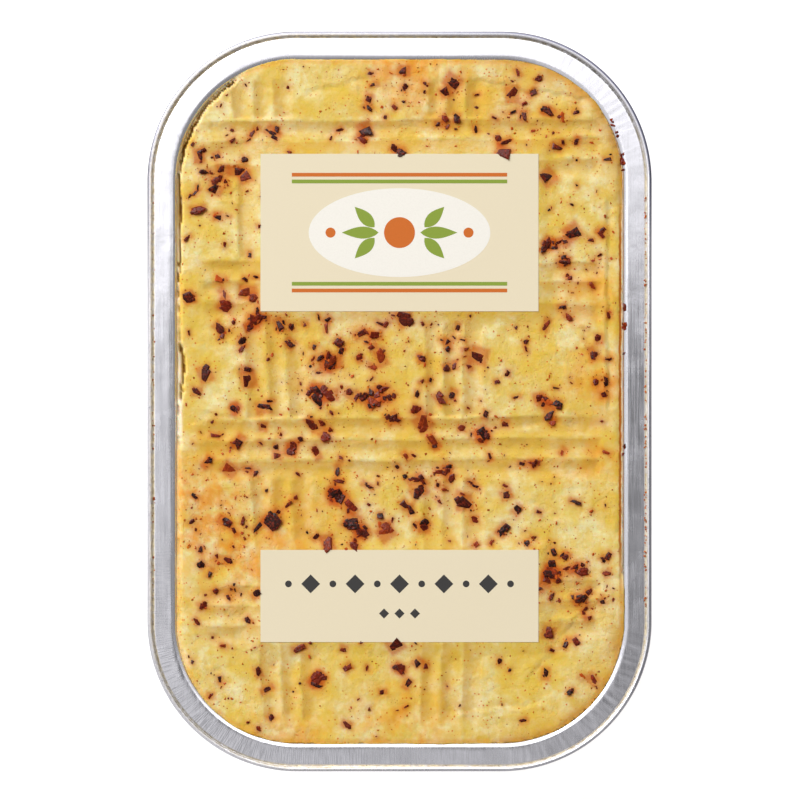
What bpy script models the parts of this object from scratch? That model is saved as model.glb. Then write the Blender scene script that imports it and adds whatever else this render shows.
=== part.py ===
"""A cottage pie in a smooth-walled foil tray. The mash is ruled with a comb and strewn with
chilli flakes, and two cards lie on it. Metres, +Z up, +Y along the tray, origin under its middle."""

import math
import random

import bmesh
import bpy
from mathutils import Euler, Matrix, Vector, noise

MM = 0.001

# Foil tray
TRAY_LENGTH = 220 * MM
TRAY_WIDTH = 150 * MM
TRAY_HEIGHT = 42 * MM
CORNER_RADIUS = 44.6 * MM
FOIL = 0.4 * MM
BEAD_RADIUS = 1.1 * MM
FLANGE_INNER = 7.4 * MM
SHOULDER_RADIUS = 1.8 * MM
BASE_RADIUS = 6.0 * MM
WALL_DRAFT = math.radians(7)
CORNER_STEPS = 10
BEAD_STEPS = 10
SHOULDER_STEPS = 3
BASE_STEPS = 3

# Mash
FIT_GAP = 0.3 * MM
MASH_EDGE_DROP = 3.0 * MM
MASH_LEVEL_DROP = 0.6 * MM
EDGE_ROLL_WIDTH = 3.0 * MM
EDGE_ROLL_STEPS = 4
DOME_INSET = 6.0 * MM
DOME_RISE = 2.0 * MM
SWELL = 0.45 * MM
SWELL_SCALE = 24
MASH_CELL = 9.0 * MM

# Comb strokes: (place of the first ridge on the tray's middle line, slope off the axis)
CROSS_BANDS = ((83.6 * MM, 0.008), (41.8 * MM, -0.005), (-5.2 * MM, 0.02), (-53.8 * MM, 0.018))
LONG_BANDS = ((-45.3 * MM, -0.0365), (7.3 * MM, 0.0095))
RIDGES = 3
COMB_PITCH = 6.2 * MM
GROOVE_WALL = 0.8 * MM
GROOVE_DEPTH = 1.3 * MM
RIDGE_SHARE = 0.15
STROKE_FADE = 4.0 * MM
CROSS_REACH = 62.0 * MM
LONG_REACH = 96.0 * MM

# Chilli flakes: heaps are (x, y, spread, flakes), and drifts are (x, y, spread)
FLAKE_SEED = 11
FLAKE_COUNT = 200
FLAKE_HEAPS = (
    (-20 * MM, 12 * MM, 2.2 * MM, 6),
    (-24.5 * MM, 3 * MM, 1.8 * MM, 3),
    (-7 * MM, 1 * MM, 1.8 * MM, 4),
    (-11.5 * MM, -38.5 * MM, 2.6 * MM, 7),
    (45 * MM, -50.5 * MM, 2.6 * MM, 6),
    (52 * MM, -50 * MM, 1.6 * MM, 3),
    (-49 * MM, -1.6 * MM, 1.6 * MM, 3),
    (-24.5 * MM, -82 * MM, 1.4 * MM, 2),
    (14 * MM, -20.5 * MM, 1.8 * MM, 3),
    (-32.5 * MM, -14.7 * MM, 1.6 * MM, 3),
    (39.8 * MM, -18 * MM, 1.6 * MM, 2),
    (44.5 * MM, 46.8 * MM, 1.8 * MM, 3),
    (-41.5 * MM, 23.6 * MM, 2.0 * MM, 3),
    (25 * MM, -9.4 * MM, 1.8 * MM, 2),
    (0 * MM, -79 * MM, 1.4 * MM, 2),
)
FLAKE_DRIFTS = (
    (-19 * MM, 8 * MM, 11 * MM),
    (14 * MM, -12 * MM, 11 * MM),
    (-10 * MM, -35 * MM, 9 * MM),
    (-34 * MM, -11 * MM, 10 * MM),
    (-48 * MM, 27 * MM, 9 * MM),
    (48 * MM, -52 * MM, 8 * MM),
    (52 * MM, 45 * MM, 11 * MM),
    (46 * MM, 80 * MM, 9 * MM),
    (-53 * MM, -36 * MM, 10 * MM),
    (0 * MM, 88 * MM, 12 * MM),
)
DRIFT_SHARE = 0.5
FLAKE_LONGEST = 5.6 * MM
FLAKE_SHORTEST = 1.1 * MM
FLAKE_RANK = 14
FLAKE_FALL = 0.42
FLAKE_WIDTH = (0.42, 0.85)
FLAKE_STAND = (0.35 * MM, 0.6 * MM)
FLAKE_ROOT = 1.1 * MM
FLAKE_SIDES = 5
FLAKE_JITTER = 0.22
FLAKE_CLEAR = 1.0 * MM

# Cards
CARD_WIDTH = 82.6 * MM
CARD_THICK = 0.3 * MM
CARDS = (("label_upper", 46.8 * MM, 50.2 * MM), ("label_lower", 27.4 * MM, -57.8 * MM))

# Levels that follow from the sizes above
BEAD_LEVEL = TRAY_HEIGHT - BEAD_RADIUS
FLANGE_TOP = BEAD_LEVEL + FOIL / 2
MASH_EDGE = FLANGE_TOP - MASH_EDGE_DROP
MASH_LEVEL = FLANGE_TOP - MASH_LEVEL_DROP
SHOULDER_CENTRE = (FLANGE_INNER, FLANGE_TOP - SHOULDER_RADIUS)


def clear_scene():
    for obj in list(bpy.data.objects):
        bpy.data.objects.remove(obj, do_unlink=True)


def new_collection(name):
    collection = bpy.data.collections.new(name)
    bpy.context.scene.collection.children.link(collection)
    return collection


def new_material(name, colour, roughness, metallic=0.0):
    material = bpy.data.materials.new(name)
    material.use_nodes = True
    shader = material.node_tree.nodes["Principled BSDF"]
    shader.inputs["Base Color"].default_value = (*colour, 1.0)
    shader.inputs["Roughness"].default_value = roughness
    shader.inputs["Metallic"].default_value = metallic
    material.diffuse_color = (*colour, 1.0)
    return material


def new_object(name, mesh_builder, collection, material=None):
    mesh = bpy.data.meshes.new(name)
    mesh_builder.to_mesh(mesh)
    mesh_builder.free()
    obj = bpy.data.objects.new(name, mesh)
    collection.objects.link(obj)
    if material:
        mesh.materials.append(material)
    return obj


def tray_ring(inset, height):
    """One ring round the tray: a rectangle with round corners, drawn in by inset."""
    radius = CORNER_RADIUS - inset
    ring = []
    for quarter, (side_x, side_y) in enumerate(((1, 1), (-1, 1), (-1, -1), (1, -1))):
        centre_x = side_x * (TRAY_WIDTH / 2 - CORNER_RADIUS)
        centre_y = side_y * (TRAY_LENGTH / 2 - CORNER_RADIUS)
        for step in range(CORNER_STEPS + 1):
            angle = math.radians(90) * (quarter + step / CORNER_STEPS)
            x = centre_x + radius * math.cos(angle)
            y = centre_y + radius * math.sin(angle)
            ring.append((x, y, height))
    return ring


def loft_rings(profile):
    """A closed solid through tray rings, one for each (inset, height), capped at both ends."""
    builder = bmesh.new()
    rings = [[builder.verts.new(point) for point in tray_ring(*step)] for step in profile]
    for lower, upper in zip(rings, rings[1:]):
        for i in range(len(lower)):
            builder.faces.new((lower[i - 1], lower[i], upper[i], upper[i - 1]))
    builder.faces.new(rings[0])
    builder.faces.new(rings[-1])
    bmesh.ops.recalc_face_normals(builder, faces=builder.faces)
    return builder


def arc(centre, radius, first, last, steps):
    """Points of an arc in (inset, height), from angle first to last, 0 being straight inwards."""
    angles = [first + (last - first) * step / steps for step in range(steps + 1)]
    return [(centre[0] + radius * math.cos(a), centre[1] + radius * math.sin(a)) for a in angles]


def wall_inset(height):
    """How far in the food side of the wall stands, at a height on its straight part."""
    start = SHOULDER_CENTRE[0] + SHOULDER_RADIUS * math.cos(WALL_DRAFT)
    top = SHOULDER_CENTRE[1] + SHOULDER_RADIUS * math.sin(WALL_DRAFT)
    return start + (top - height) * math.tan(WALL_DRAFT)


def base_centre():
    """Centre of the bend between wall and base, in (inset, height)."""
    height = FOIL + BASE_RADIUS
    wall_foot = height - BASE_RADIUS * math.sin(WALL_DRAFT)
    return wall_inset(wall_foot) + BASE_RADIUS * math.cos(WALL_DRAFT), height


def base_bend(radius):
    """The bend from the wall round to the flat of the base."""
    return arc(base_centre(), radius, math.pi + WALL_DRAFT, math.pi * 1.5, BASE_STEPS)


def tray_profile():
    """The tray's section, from under the base, over the bead and down to the floor inside."""
    upright = math.radians(90)
    meet = math.asin(FOIL / 2 / BEAD_RADIUS)
    bead_centre = (BEAD_RADIUS, BEAD_LEVEL)
    underside = base_bend(BASE_RADIUS + FOIL)[::-1]
    under_flange = arc(SHOULDER_CENTRE, SHOULDER_RADIUS - FOIL, WALL_DRAFT, upright, SHOULDER_STEPS)
    bead = arc(bead_centre, BEAD_RADIUS, -meet, meet - math.tau, BEAD_STEPS)
    over_shoulder = arc(SHOULDER_CENTRE, SHOULDER_RADIUS, upright, WALL_DRAFT, SHOULDER_STEPS)
    return underside + under_flange + bead + over_shoulder + base_bend(BASE_RADIUS)


def build_tray(collection):
    foil = new_material("foil", (0.78, 0.78, 0.79), 0.32, 1.0)
    tray = new_object("foil_tray", loft_rings(tray_profile()), collection, foil)
    tray.data.shade_smooth()
    tray.data.set_sharp_from_angle(angle=math.radians(40))
    return tray


def smooth_step(share):
    share = min(1.0, max(0.0, share))
    return share * share * (3 - 2 * share)


def comb_drop(run):
    """Depth at a run past a stroke's first ridge, as a share of the full groove: each tooth
    cuts a steep wall down and leaves a slow rise to the next ridge."""
    if not 0 <= run < RIDGES * COMB_PITCH:
        return 0.0
    ridge, past = divmod(run, COMB_PITCH)
    start = RIDGE_SHARE if ridge > 0 else 0.0
    end = RIDGE_SHARE if ridge < RIDGES - 1 else 0.0
    if past < GROOVE_WALL:
        return start + (1 - start) * past / GROOVE_WALL
    return 1 + (end - 1) * (past - GROOVE_WALL) / (COMB_PITCH - GROOVE_WALL)


def mash_top(x, y):
    """Height of the mash before its edge is rolled over."""
    swell = SWELL * noise.noise(Vector((x, y, 0)) * SWELL_SCALE)
    cross = cover = 0.0
    for start, slope in CROSS_BANDS:
        run = start + slope * x - y
        cross += comb_drop(run)
        inside = min(run + STROKE_FADE, RIDGES * COMB_PITCH - run) / STROKE_FADE
        cover = max(cover, smooth_step(inside))
    long = sum(comb_drop(x - start - slope * y) for start, slope in LONG_BANDS)
    cross *= smooth_step((CROSS_REACH - abs(x)) / STROKE_FADE)
    long *= smooth_step((LONG_REACH - abs(y)) / STROKE_FADE) * (1 - cover)
    return MASH_LEVEL + swell - GROOVE_DEPTH * (cross + long)


def ruled_lines(reach, bands, towards):
    """Grid lines over the mash as (place, slope): one on each ridge and each groove's floor,
    and even ones between. towards is +1 or -1, the way that a stroke's ridges follow."""
    lines = [(-reach, 0.0), (reach, 0.0)]
    for start, slope in bands:
        for ridge in range(RIDGES):
            place = start + towards * ridge * COMB_PITCH
            lines += [(place, slope), (place + towards * GROOVE_WALL, slope)]
        lines.append((start + towards * RIDGES * COMB_PITCH, slope))
    lines.sort()
    filled = []
    for (place, slope), (next_place, next_slope) in zip(lines, lines[1:]):
        cells = max(1, round((next_place - place) / MASH_CELL))
        for cell in range(cells):
            share = cell / cells
            filled.append((place + (next_place - place) * share, slope + (next_slope - slope) * share))
    return filled + [lines[-1]]


def build_mash_block(collection):
    """A block over the whole tray, flat below, with the ruled mash as its top."""
    columns = ruled_lines(TRAY_WIDTH / 2, LONG_BANDS, 1)
    rows = ruled_lines(TRAY_LENGTH / 2, CROSS_BANDS, -1)
    builder = bmesh.new()
    bmesh.ops.create_grid(builder, x_segments=len(columns) - 1, y_segments=len(rows) - 1, size=1)
    builder.verts.ensure_lookup_table()
    for index, vert in enumerate(builder.verts):
        place_x, slope_x = columns[index % len(columns)]
        place_y, slope_y = rows[index // len(columns)]
        x = place_x + slope_x * place_y
        y = place_y + slope_y * place_x
        vert.co = (x, y, mash_top(x, y))
    raised = bmesh.ops.extrude_face_region(builder, geom=builder.faces[:])["geom"]
    for vert in (item for item in raised if isinstance(item, bmesh.types.BMVert)):
        vert.co.z = -TRAY_HEIGHT
    bmesh.ops.recalc_face_normals(builder, faces=builder.faces)
    return new_object("mash_block", builder, collection)


def loaf_profile():
    """Section of the room that the food fills: the tray's inside less the fit gap, rolled
    over at the mash's edge and open above it."""
    side = wall_inset(MASH_EDGE) + FIT_GAP
    roll_height = MASH_LEVEL + SWELL - MASH_EDGE
    profile = [*reversed(base_bend(BASE_RADIUS - FIT_GAP))]
    for step in range(EDGE_ROLL_STEPS + 1):
        angle = math.radians(90) * step / EDGE_ROLL_STEPS
        inset = side + EDGE_ROLL_WIDTH * (1 - math.cos(angle))
        profile.append((inset, MASH_EDGE + roll_height * math.sin(angle)))
    last_inset, last_height = profile[-1]
    profile.append((last_inset + DOME_INSET, last_height + DOME_RISE))
    return profile


def inside_depth(x, y):
    """How far a point lies inside the mash's outline."""
    inset = wall_inset(MASH_EDGE) + FIT_GAP
    radius = CORNER_RADIUS - inset
    past_x = abs(x) - (TRAY_WIDTH / 2 - CORNER_RADIUS)
    past_y = abs(y) - (TRAY_LENGTH / 2 - CORNER_RADIUS)
    outside = math.hypot(max(past_x, 0), max(past_y, 0)) + min(max(past_x, past_y), 0)
    return radius - outside


def under_card(x, y, margin):
    for _, length, centre in CARDS:
        if abs(x) < CARD_WIDTH / 2 + margin and abs(y - centre) < length / 2 + margin:
            return True
    return False


def flake_spots(count):
    """Where the flakes lie, the largest first, as (x, y, length): the heaps share out the
    largest, then the rest fall on drifts or anywhere. A spot too near the edge, or under a
    card, is drawn again."""
    draw = random.Random(FLAKE_SEED)
    heaped = [(x, y, spread) for x, y, spread, flakes in FLAKE_HEAPS for _ in range(flakes)]
    draw.shuffle(heaped)
    spots = []
    while len(spots) < count:
        rank = 1 + len(spots) / FLAKE_RANK
        length = max(FLAKE_SHORTEST, FLAKE_LONGEST * rank**-FLAKE_FALL)
        if len(spots) < len(heaped):
            centre_x, centre_y, spread = heaped[len(spots)]
            x, y = draw.gauss(centre_x, spread), draw.gauss(centre_y, spread)
        elif draw.random() < DRIFT_SHARE:
            centre_x, centre_y, spread = draw.choice(FLAKE_DRIFTS)
            x, y = draw.gauss(centre_x, spread), draw.gauss(centre_y, spread)
        else:
            x = draw.uniform(-TRAY_WIDTH / 2, TRAY_WIDTH / 2)
            y = draw.uniform(-TRAY_LENGTH / 2, TRAY_LENGTH / 2)
        room = length / 2 + FLAKE_CLEAR
        if inside_depth(x, y) > room and not under_card(x, y, room):
            spots.append((x, y, length))
    return spots


def build_flake(name, x, y, length, collection):
    """A broken chip that stands out of the mash, its root sunk so that it fuses all round."""
    draw = random.Random(name)
    stand = draw.uniform(*FLAKE_STAND)
    builder = bmesh.new()
    bmesh.ops.create_cone(
        builder, cap_ends=True, segments=FLAKE_SIDES, radius1=1, radius2=1, depth=stand + FLAKE_ROOT
    )
    for vert in builder.verts:
        vert.co.x *= length / 2 * draw.uniform(1 - FLAKE_JITTER, 1)
        vert.co.y *= length / 2 * draw.uniform(*FLAKE_WIDTH)
        vert.co.z += (stand - FLAKE_ROOT) / 2
    turn = Euler((draw.uniform(-0.12, 0.12), draw.uniform(-0.12, 0.12), draw.uniform(0, math.tau)))
    place = Matrix.Translation((x, y, mash_top(x, y))) @ turn.to_matrix().to_4x4()
    bmesh.ops.transform(builder, matrix=place, verts=builder.verts)
    bmesh.ops.recalc_face_normals(builder, faces=builder.faces)
    return new_object(name, builder, collection)


def apply_modifiers(obj):
    """Bakes an object's modifiers into its mesh."""
    graph = bpy.context.evaluated_depsgraph_get()
    baked = bpy.data.meshes.new_from_object(obj.evaluated_get(graph))
    obj.modifiers.clear()
    obj.data = baked


def remove_collection(collection):
    for obj in list(collection.objects):
        bpy.data.objects.remove(obj, do_unlink=True)
    bpy.data.collections.remove(collection)


def build_pie(collection, cutters):
    """Filling and mash in one uncut solid, with the largest flakes fused to it."""
    mash = new_material("mash", (0.80, 0.56, 0.16), 0.55)
    pie = new_object("pie", loft_rings(loaf_profile()), collection, mash)
    block = build_mash_block(cutters)
    shape = pie.modifiers.new("ruled_top", "BOOLEAN")
    shape.operation = "INTERSECT"
    shape.object = block
    apply_modifiers(pie)
    flakes = new_collection("flakes")
    for number, (x, y, length) in enumerate(flake_spots(FLAKE_COUNT)):
        build_flake(f"flake_{number:03d}", x, y, length, flakes)
    fuse = pie.modifiers.new("flakes", "BOOLEAN")
    fuse.operation = "UNION"
    fuse.operand_type = "COLLECTION"
    fuse.collection = flakes
    apply_modifiers(pie)
    remove_collection(flakes)
    remove_collection(cutters)
    return pie


def card_level(pie, length, centre):
    """The highest mash under a card, a grid cell round it included."""
    half_width = CARD_WIDTH / 2 + MASH_CELL
    half_length = length / 2 + MASH_CELL
    points = [vert.co for vert in pie.data.vertices]
    return max(z for x, y, z in points if abs(x) < half_width and abs(y - centre) < half_length)


def build_card(name, length, centre, pie, collection, material):
    """A flat card that rests on the highest ridges under it."""
    builder = bmesh.new()
    bmesh.ops.create_cube(builder, size=1)
    bmesh.ops.scale(builder, vec=(CARD_WIDTH, length, CARD_THICK), verts=builder.verts)
    card = new_object(name, builder, collection, material)
    card.location = (0, centre, card_level(pie, length, centre) + FIT_GAP + CARD_THICK / 2)
    return card


def main():
    clear_scene()
    parts = new_collection("cottage_pie")
    cutters = new_collection("cutters")
    build_tray(parts)
    pie = build_pie(parts, cutters)
    paper = new_material("paper", (0.84, 0.75, 0.54), 0.6)
    for name, length, centre in CARDS:
        build_card(name, length, centre, pie, parts, paper)


main()
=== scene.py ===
"""A cottage pie in its foil tray, dressed for the picture.

The mash is ruled with a comb and strewn with chilli flakes, the tray has a rolled rim, and two
printed cards lie on the mash. Each piece has its own operator, which reads its settings. Metres,
+Z up, and +Y towards the larger card, which is the top of the picture.
"""

import math
import random
from collections import namedtuple

import bmesh
import bpy
import numpy as np
from bpy.props import FloatProperty, FloatVectorProperty, IntProperty, PointerProperty
from mathutils import Matrix, Vector
from mathutils.bvhtree import BVHTree


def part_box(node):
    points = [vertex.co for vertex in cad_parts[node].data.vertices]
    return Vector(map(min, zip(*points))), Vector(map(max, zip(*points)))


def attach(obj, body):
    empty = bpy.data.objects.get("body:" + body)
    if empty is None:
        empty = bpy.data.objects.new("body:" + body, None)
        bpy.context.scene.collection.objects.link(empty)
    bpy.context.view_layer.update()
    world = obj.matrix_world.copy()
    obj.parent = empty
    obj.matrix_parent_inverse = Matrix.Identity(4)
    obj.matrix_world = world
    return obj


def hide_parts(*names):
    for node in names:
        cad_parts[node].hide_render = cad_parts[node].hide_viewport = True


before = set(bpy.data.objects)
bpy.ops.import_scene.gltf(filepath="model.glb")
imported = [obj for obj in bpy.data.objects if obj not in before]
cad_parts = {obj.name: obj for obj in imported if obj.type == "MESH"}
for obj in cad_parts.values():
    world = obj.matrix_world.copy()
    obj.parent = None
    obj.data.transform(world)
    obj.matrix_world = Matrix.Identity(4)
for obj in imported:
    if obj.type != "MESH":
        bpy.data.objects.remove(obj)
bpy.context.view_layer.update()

bl_info = {
    "name": "Cottage pie in a foil tray",
    "version": (1, 0, 0),
    "blender": (4, 5, 0),
    "location": "3D View > Sidebar > Pie",
    "description": "Builds a ruled and strewn cottage pie, its foil tray and the cards on it",
    "category": "Add Mesh",
}

MM = 0.001
TRAY_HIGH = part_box("foil_tray")[1]
HALF_WIDTH, HALF_LENGTH = TRAY_HIGH.x, TRAY_HIGH.y
CARD_BOXES = {name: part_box(name) for name in ("label_upper", "label_lower")}
CARD_TOP = TRAY_HIGH.z - 0.6 * MM       # the cards have sunk in until they lie just under the rim
CARD_THICKNESS = 0.3 * MM
FILM_INSET = 8.5 * MM                   # the film of food on the foil starts just below the flange,
FILM_REACH = 100 * MM                   # and stops short of the tray's two ends
WRINKLE_STRETCH = 0.06                  # how much finer the flange's wrinkles are round it than across

# The picture
PICTURE_PIXELS = 800
TRAY_PIXELS = 740
PICTURE_CENTRE = (0.15 * MM, 0.45 * MM)
SENSOR_WIDTH = 36

# Lights in metres: where each hangs and how wide it is
KEY_PLACE = (-1.5, 1.65, 2.1)
KEY_SIZE = 1.65
PANEL_PLACE = (0.0, 0.345, 0.49)
PANEL_SIZE = 0.57

# Comb strokes in mm. Each ridge is its place at the strokes' two ends: from left (-55) to right (+55)
# for those across the tray, and from the near end (-86) to the far end (+88) for the long ones.
CROSS_ENDS = (-55, 55)
CROSS_STROKES = (
    ((83.4, 84.3), (77.4, 78.5), (70.4, 72.2)),
    ((42.1, 41.4), (36.0, 35.7), (29.9, 29.2)),
    ((-5.4, -4.2), (-11.5, -10.6), (-17.7, -16.7)),
    ((-54.9, -52.6), (-60.8, -58.9), (-66.7, -64.8)),
)
LONG_ENDS = (-86, 88)
LONG_STROKES = (
    ((-41.2, -50.0), (-34.9, -43.4), (-29.1, -37.6)),
    ((6.3, 8.3), (12.1, 13.8), (18.4, 19.4)),
)
LAST_PITCH = 6.8 * MM                   # width of the groove past a stroke's last ridge
WORN_RIDGE = 0.2                        # share of a groove's depth that the ridge past it has lost

# Flakes in mm: heaps are (x, y, spread, flakes), and drifts are (x, y, spread)
HEAPS = (
    (-20, 12, 1.9, 10), (-24.5, 3, 1.3, 5), (-7, 1, 1.6, 7), (-11.5, -38.5, 2.3, 11),
    (45, -50.5, 2.4, 10), (52, -50, 1.4, 4), (-49, -1.6, 1.1, 4), (-24.5, -82, 0.9, 3),
    (14, -20.5, 1.5, 6), (-32.5, -14.7, 1.0, 4), (39.8, -18, 1.2, 3), (44.5, 46.8, 1.6, 5),
    (-41.5, 23.6, 1.8, 5), (25, -9.4, 1.3, 5), (0, -79, 0.9, 3), (-19, -26, 1.5, 6),
    (50, 42, 1.5, 4), (-50, -56, 1.6, 4), (44.6, -0.8, 1.0, 3), (57, 13.5, 1.0, 2),
)
DRIFTS = (
    (-19, 8, 13), (14, -12, 12), (-10, -35, 10), (-34, -11, 11), (-48, 27, 9), (48, -52, 8),
    (52, 45, 11), (44, 82, 10), (-53, -36, 10), (0, 88, 13), (-50, 68, 9), (8, 26, 12),
)
WALL_FLAKES = ((66, 84, 11), (14, 30, 5), (-26, -8, 2))     # stretches of y at the right, and flakes

# Patches of oil in mm: (x, y, spread, strength)
WARM_PATCHES = (
    (-58, -27, 13, 1.05), (-50, -46, 14, 0.95), (0, -99, 13, 0.8), (-32, -100, 12, 0.6), (4, 100, 15, 1.0),
    (-20, -32, 10, 0.45), (-14, 22, 12, 0.35), (28, -42, 12, 0.1), (60, 7, 9, 0.9), (-22, 12, 9, 0.4),
    (54, 92, 8, 0.3), (-44, 24, 8, 0.35), (50, -50, 9, 0.1), (-4, -2, 9, 0.35), (30, 92, 10, 0.4),
    (-57, -36, 12, 1.05), (-38, -40, 14, 0.75), (58.5, 30, 10, 0.6), (59, -16, 10, 0.6),
)

# Folds where the mash has torn or slid, in mm: (start x, start y, end x, end y, drop, wander).
# The mash drops on the left of the way from start to end.
FOLDS = (
    (61.5, -4, 61.5, 62, -0.5, 0.5), (20, 96.5, 58, 90, -0.45, 1.6), (-30, 92.5, -6, 97, -0.3, 0.9),
    (36, -84, 56, -60, -0.3, 1.4), (-60, -76, -44, -90, 0.3, 1.2), (-61, -2, -46, -5.5, -0.3, 0.8),
    (12, -93.5, 44, -90, 0.3, 1.2), (-58, 62, -46, 58, 0.25, 0.7), (33, -8, 50, -6.5, 0.3, 0.7),
    (47, 26, 59, 20, -0.25, 0.9), (-60, 34, -50, 30, 0.25, 0.8), (36, -30, 50, -36, 0.25, 1.3),
)

# The gap between mash and wall on the left: places along the tray in mm, and how wide it is there
GAP_PLACES = (-100, -40, -8, -1, 3, 12, 17, 32, 46, 86, 97, 103)
GAP_SHARES = (0.06, 0.12, 0.2, 0.35, 1.2, 1.2, 0.4, 0.35, 0.85, 1.0, 0.5, 0)

Flake = namedtuple("Flake", "x y length width turn kind tone")
CHIP_CORNERS = (5, 4, 5, 4, 6, 5, 4, 5, 4)          # corners of each kind of chip
GRAINS = 4                                          # kinds of dust grain

# Mottling of the mash: (size in mm, detail, roughness, low and high end of the noise, share of butter)
MOTTLES = (
    (12, 3.0, 0.55, 0.38, 0.62, 0.7), (4.2, 5.0, 0.65, 0.38, 0.62, 0.5), (1.6, 3.0, 0.6, 0.42, 0.62, 0.28),
)


def srgb(red, green, blue):
    """A colour as a picture gives it, 0 to 255, made linear."""
    shares = [value / 255 for value in (red, green, blue)]
    return tuple(s / 12.92 if s <= 0.04045 else ((s + 0.055) / 1.055) ** 2.4 for s in shares)


def size_setting(name, millimetres, description):
    return FloatProperty(
        name=name, description=description, default=millimetres * MM, unit="LENGTH", precision=5
    )


def share_setting(name, share, description):
    return FloatProperty(name=name, description=description, default=share, min=0)


def count_setting(name, count, description):
    return IntProperty(name=name, description=description, default=count, min=0)


def colour_setting(name, red, green, blue, description):
    return FloatVectorProperty(
        name=name, description=description, subtype="COLOR", size=3, default=srgb(red, green, blue)
    )


class PieTraySettings(bpy.types.PropertyGroup):
    """Sizes and colour of the foil tray."""

    corner_radius: size_setting("Corner radius", 44.6, "Radius of the outline's corners")
    sheet: size_setting("Sheet", 0.4, "Thickness of the foil as modelled")
    bead_radius: size_setting("Bead radius", 1.1, "Half the height of the rolled rim")
    bead_width: size_setting("Bead width", 1.5, "Width of the rolled rim")
    flange_inner: size_setting("Flange", 7.0, "From the outer edge to where the flange turns down")
    flange_fall: size_setting("Flange fall", 0.22, "How far the flange falls towards the bead")
    channel_width: size_setting("Channel width", 0.8, "Width of the crease inside the bead")
    channel_depth: size_setting("Channel depth", 0.24, "Depth of the crease inside the bead")
    bead_flatness: share_setting("Bead flatness", 0.72, "How round the bead's top is, 1 being a full round")
    shoulder_radius: size_setting("Shoulder", 1.8, "Radius of the bend from flange to wall")
    base_radius: size_setting("Base bend", 6.0, "Radius of the bend from wall to base")
    wall_draft: FloatProperty(
        name="Draft", description="Lean of the walls", default=math.radians(7), subtype="ANGLE"
    )
    sway: size_setting("Sway", 0.12, "How far the flange waves up and down")
    pucker: size_setting("Pucker", 0.035, "Depth of the fine wrinkles across the corners")
    crease: size_setting("Crease", 0.16, "Depth of the creases down the wall's corners")
    column_step: size_setting("Column step", 0.45, "Spacing of the mesh round the corners")
    colour: colour_setting("Foil", 204, 203, 209, "Colour of the foil")
    # Painted reflection: a dark line painted on the bead's outer side, for the dark surroundings it would
    # mirror.
    shade: colour_setting("Shade", 86, 86, 102, "Dark line round the bead")
    grime: colour_setting("Grime", 204, 186, 146, "Food caught in the crease inside the bead")
    crumb: colour_setting("Crumb", 234, 222, 188, "Pale crumbs in that crease")
    burnt: colour_setting("Burnt", 92, 50, 26, "Dark crumbs in that crease")
    # Painted shadow: the crease inside the bead is darkened where it is clean.
    murk: colour_setting("Murk", 70, 70, 66, "Shadow in that crease where it is clean")
    film: colour_setting("Film", 220, 194, 150, "Film of food on the wall")


class PieMashSettings(bpy.types.PropertyGroup):
    """Sizes and colours of the mash."""

    cell: size_setting("Cell", 0.62, "Spacing of the mesh between the ridges")
    ridge_cell: size_setting("Ridge cell", 0.3, "Spacing of the mesh where a tooth cut down")
    level: size_setting("Level", 0.3, "How far the smooth top lies below the flange")
    swell: size_setting("Swell", 0.25, "Height of the broad swells")
    lumps: size_setting("Lumps", 0.09, "Height of the small lumps")
    drag: size_setting("Drag", 0.075, "Depth of the fine marks that the comb dragged")
    groove_depth: size_setting("Groove depth", 0.45, "How deep the comb's teeth cut")
    groove_wall: size_setting("Groove wall", 0.45, "Width of the steep start of a groove")
    long_share: share_setting("Long strokes", 0.95, "Depth of their grooves, as a share of the others")
    lip: size_setting("Lip", 0.03, "Height of the mash pushed up before a tooth's cut")
    wall_gap: size_setting("Wall gap", 0.05, "Least gap between mash and foil")
    stain_reach: size_setting("Stain reach", 0.55, "How far a flake's colour soaks into the mash")
    stain_share: share_setting("Stain", 0.66, "Strength of that stain")
    oil_reach: size_setting("Oil reach", 1.5, "How far a flake's oil spreads")
    oil_share: share_setting("Oil", 0.13, "Strength of that oil")
    cream: colour_setting("Cream", 244, 236, 186, "Palest mash")
    butter: colour_setting("Butter", 230, 194, 50, "Deepest plain mash")
    amber: colour_setting("Amber", 233, 150, 22, "Mash stained by oil")
    rust: colour_setting("Rust", 196, 82, 0, "Mash stained round a flake")
    # Painted shade: the falls of the grooves and the mash's wrinkle lines take this darker, warmer tint.
    hollow_shade: colour_setting("Moist", 210, 158, 58, "Mash in the scraped hollows")
    # A darker, browner tint on the mash near the wall at the right end's corners.
    wall_tint: colour_setting("Crust", 206, 148, 58, "Browned mash at the wall")
    speck: colour_setting("Speck", 214, 110, 12, "Finest specks of oil")
    oily: colour_setting("Oily", 188, 108, 28, "Line of oil along the right wall")
    film: colour_setting("Film", 246, 232, 204, "Thin film of mash at the wall")
    # Painted shade: the bottom of the gap at the left wall is painted dark brown.
    trench: colour_setting("Trench", 144, 100, 36, "Bottom of the gap at the left wall")


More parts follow.
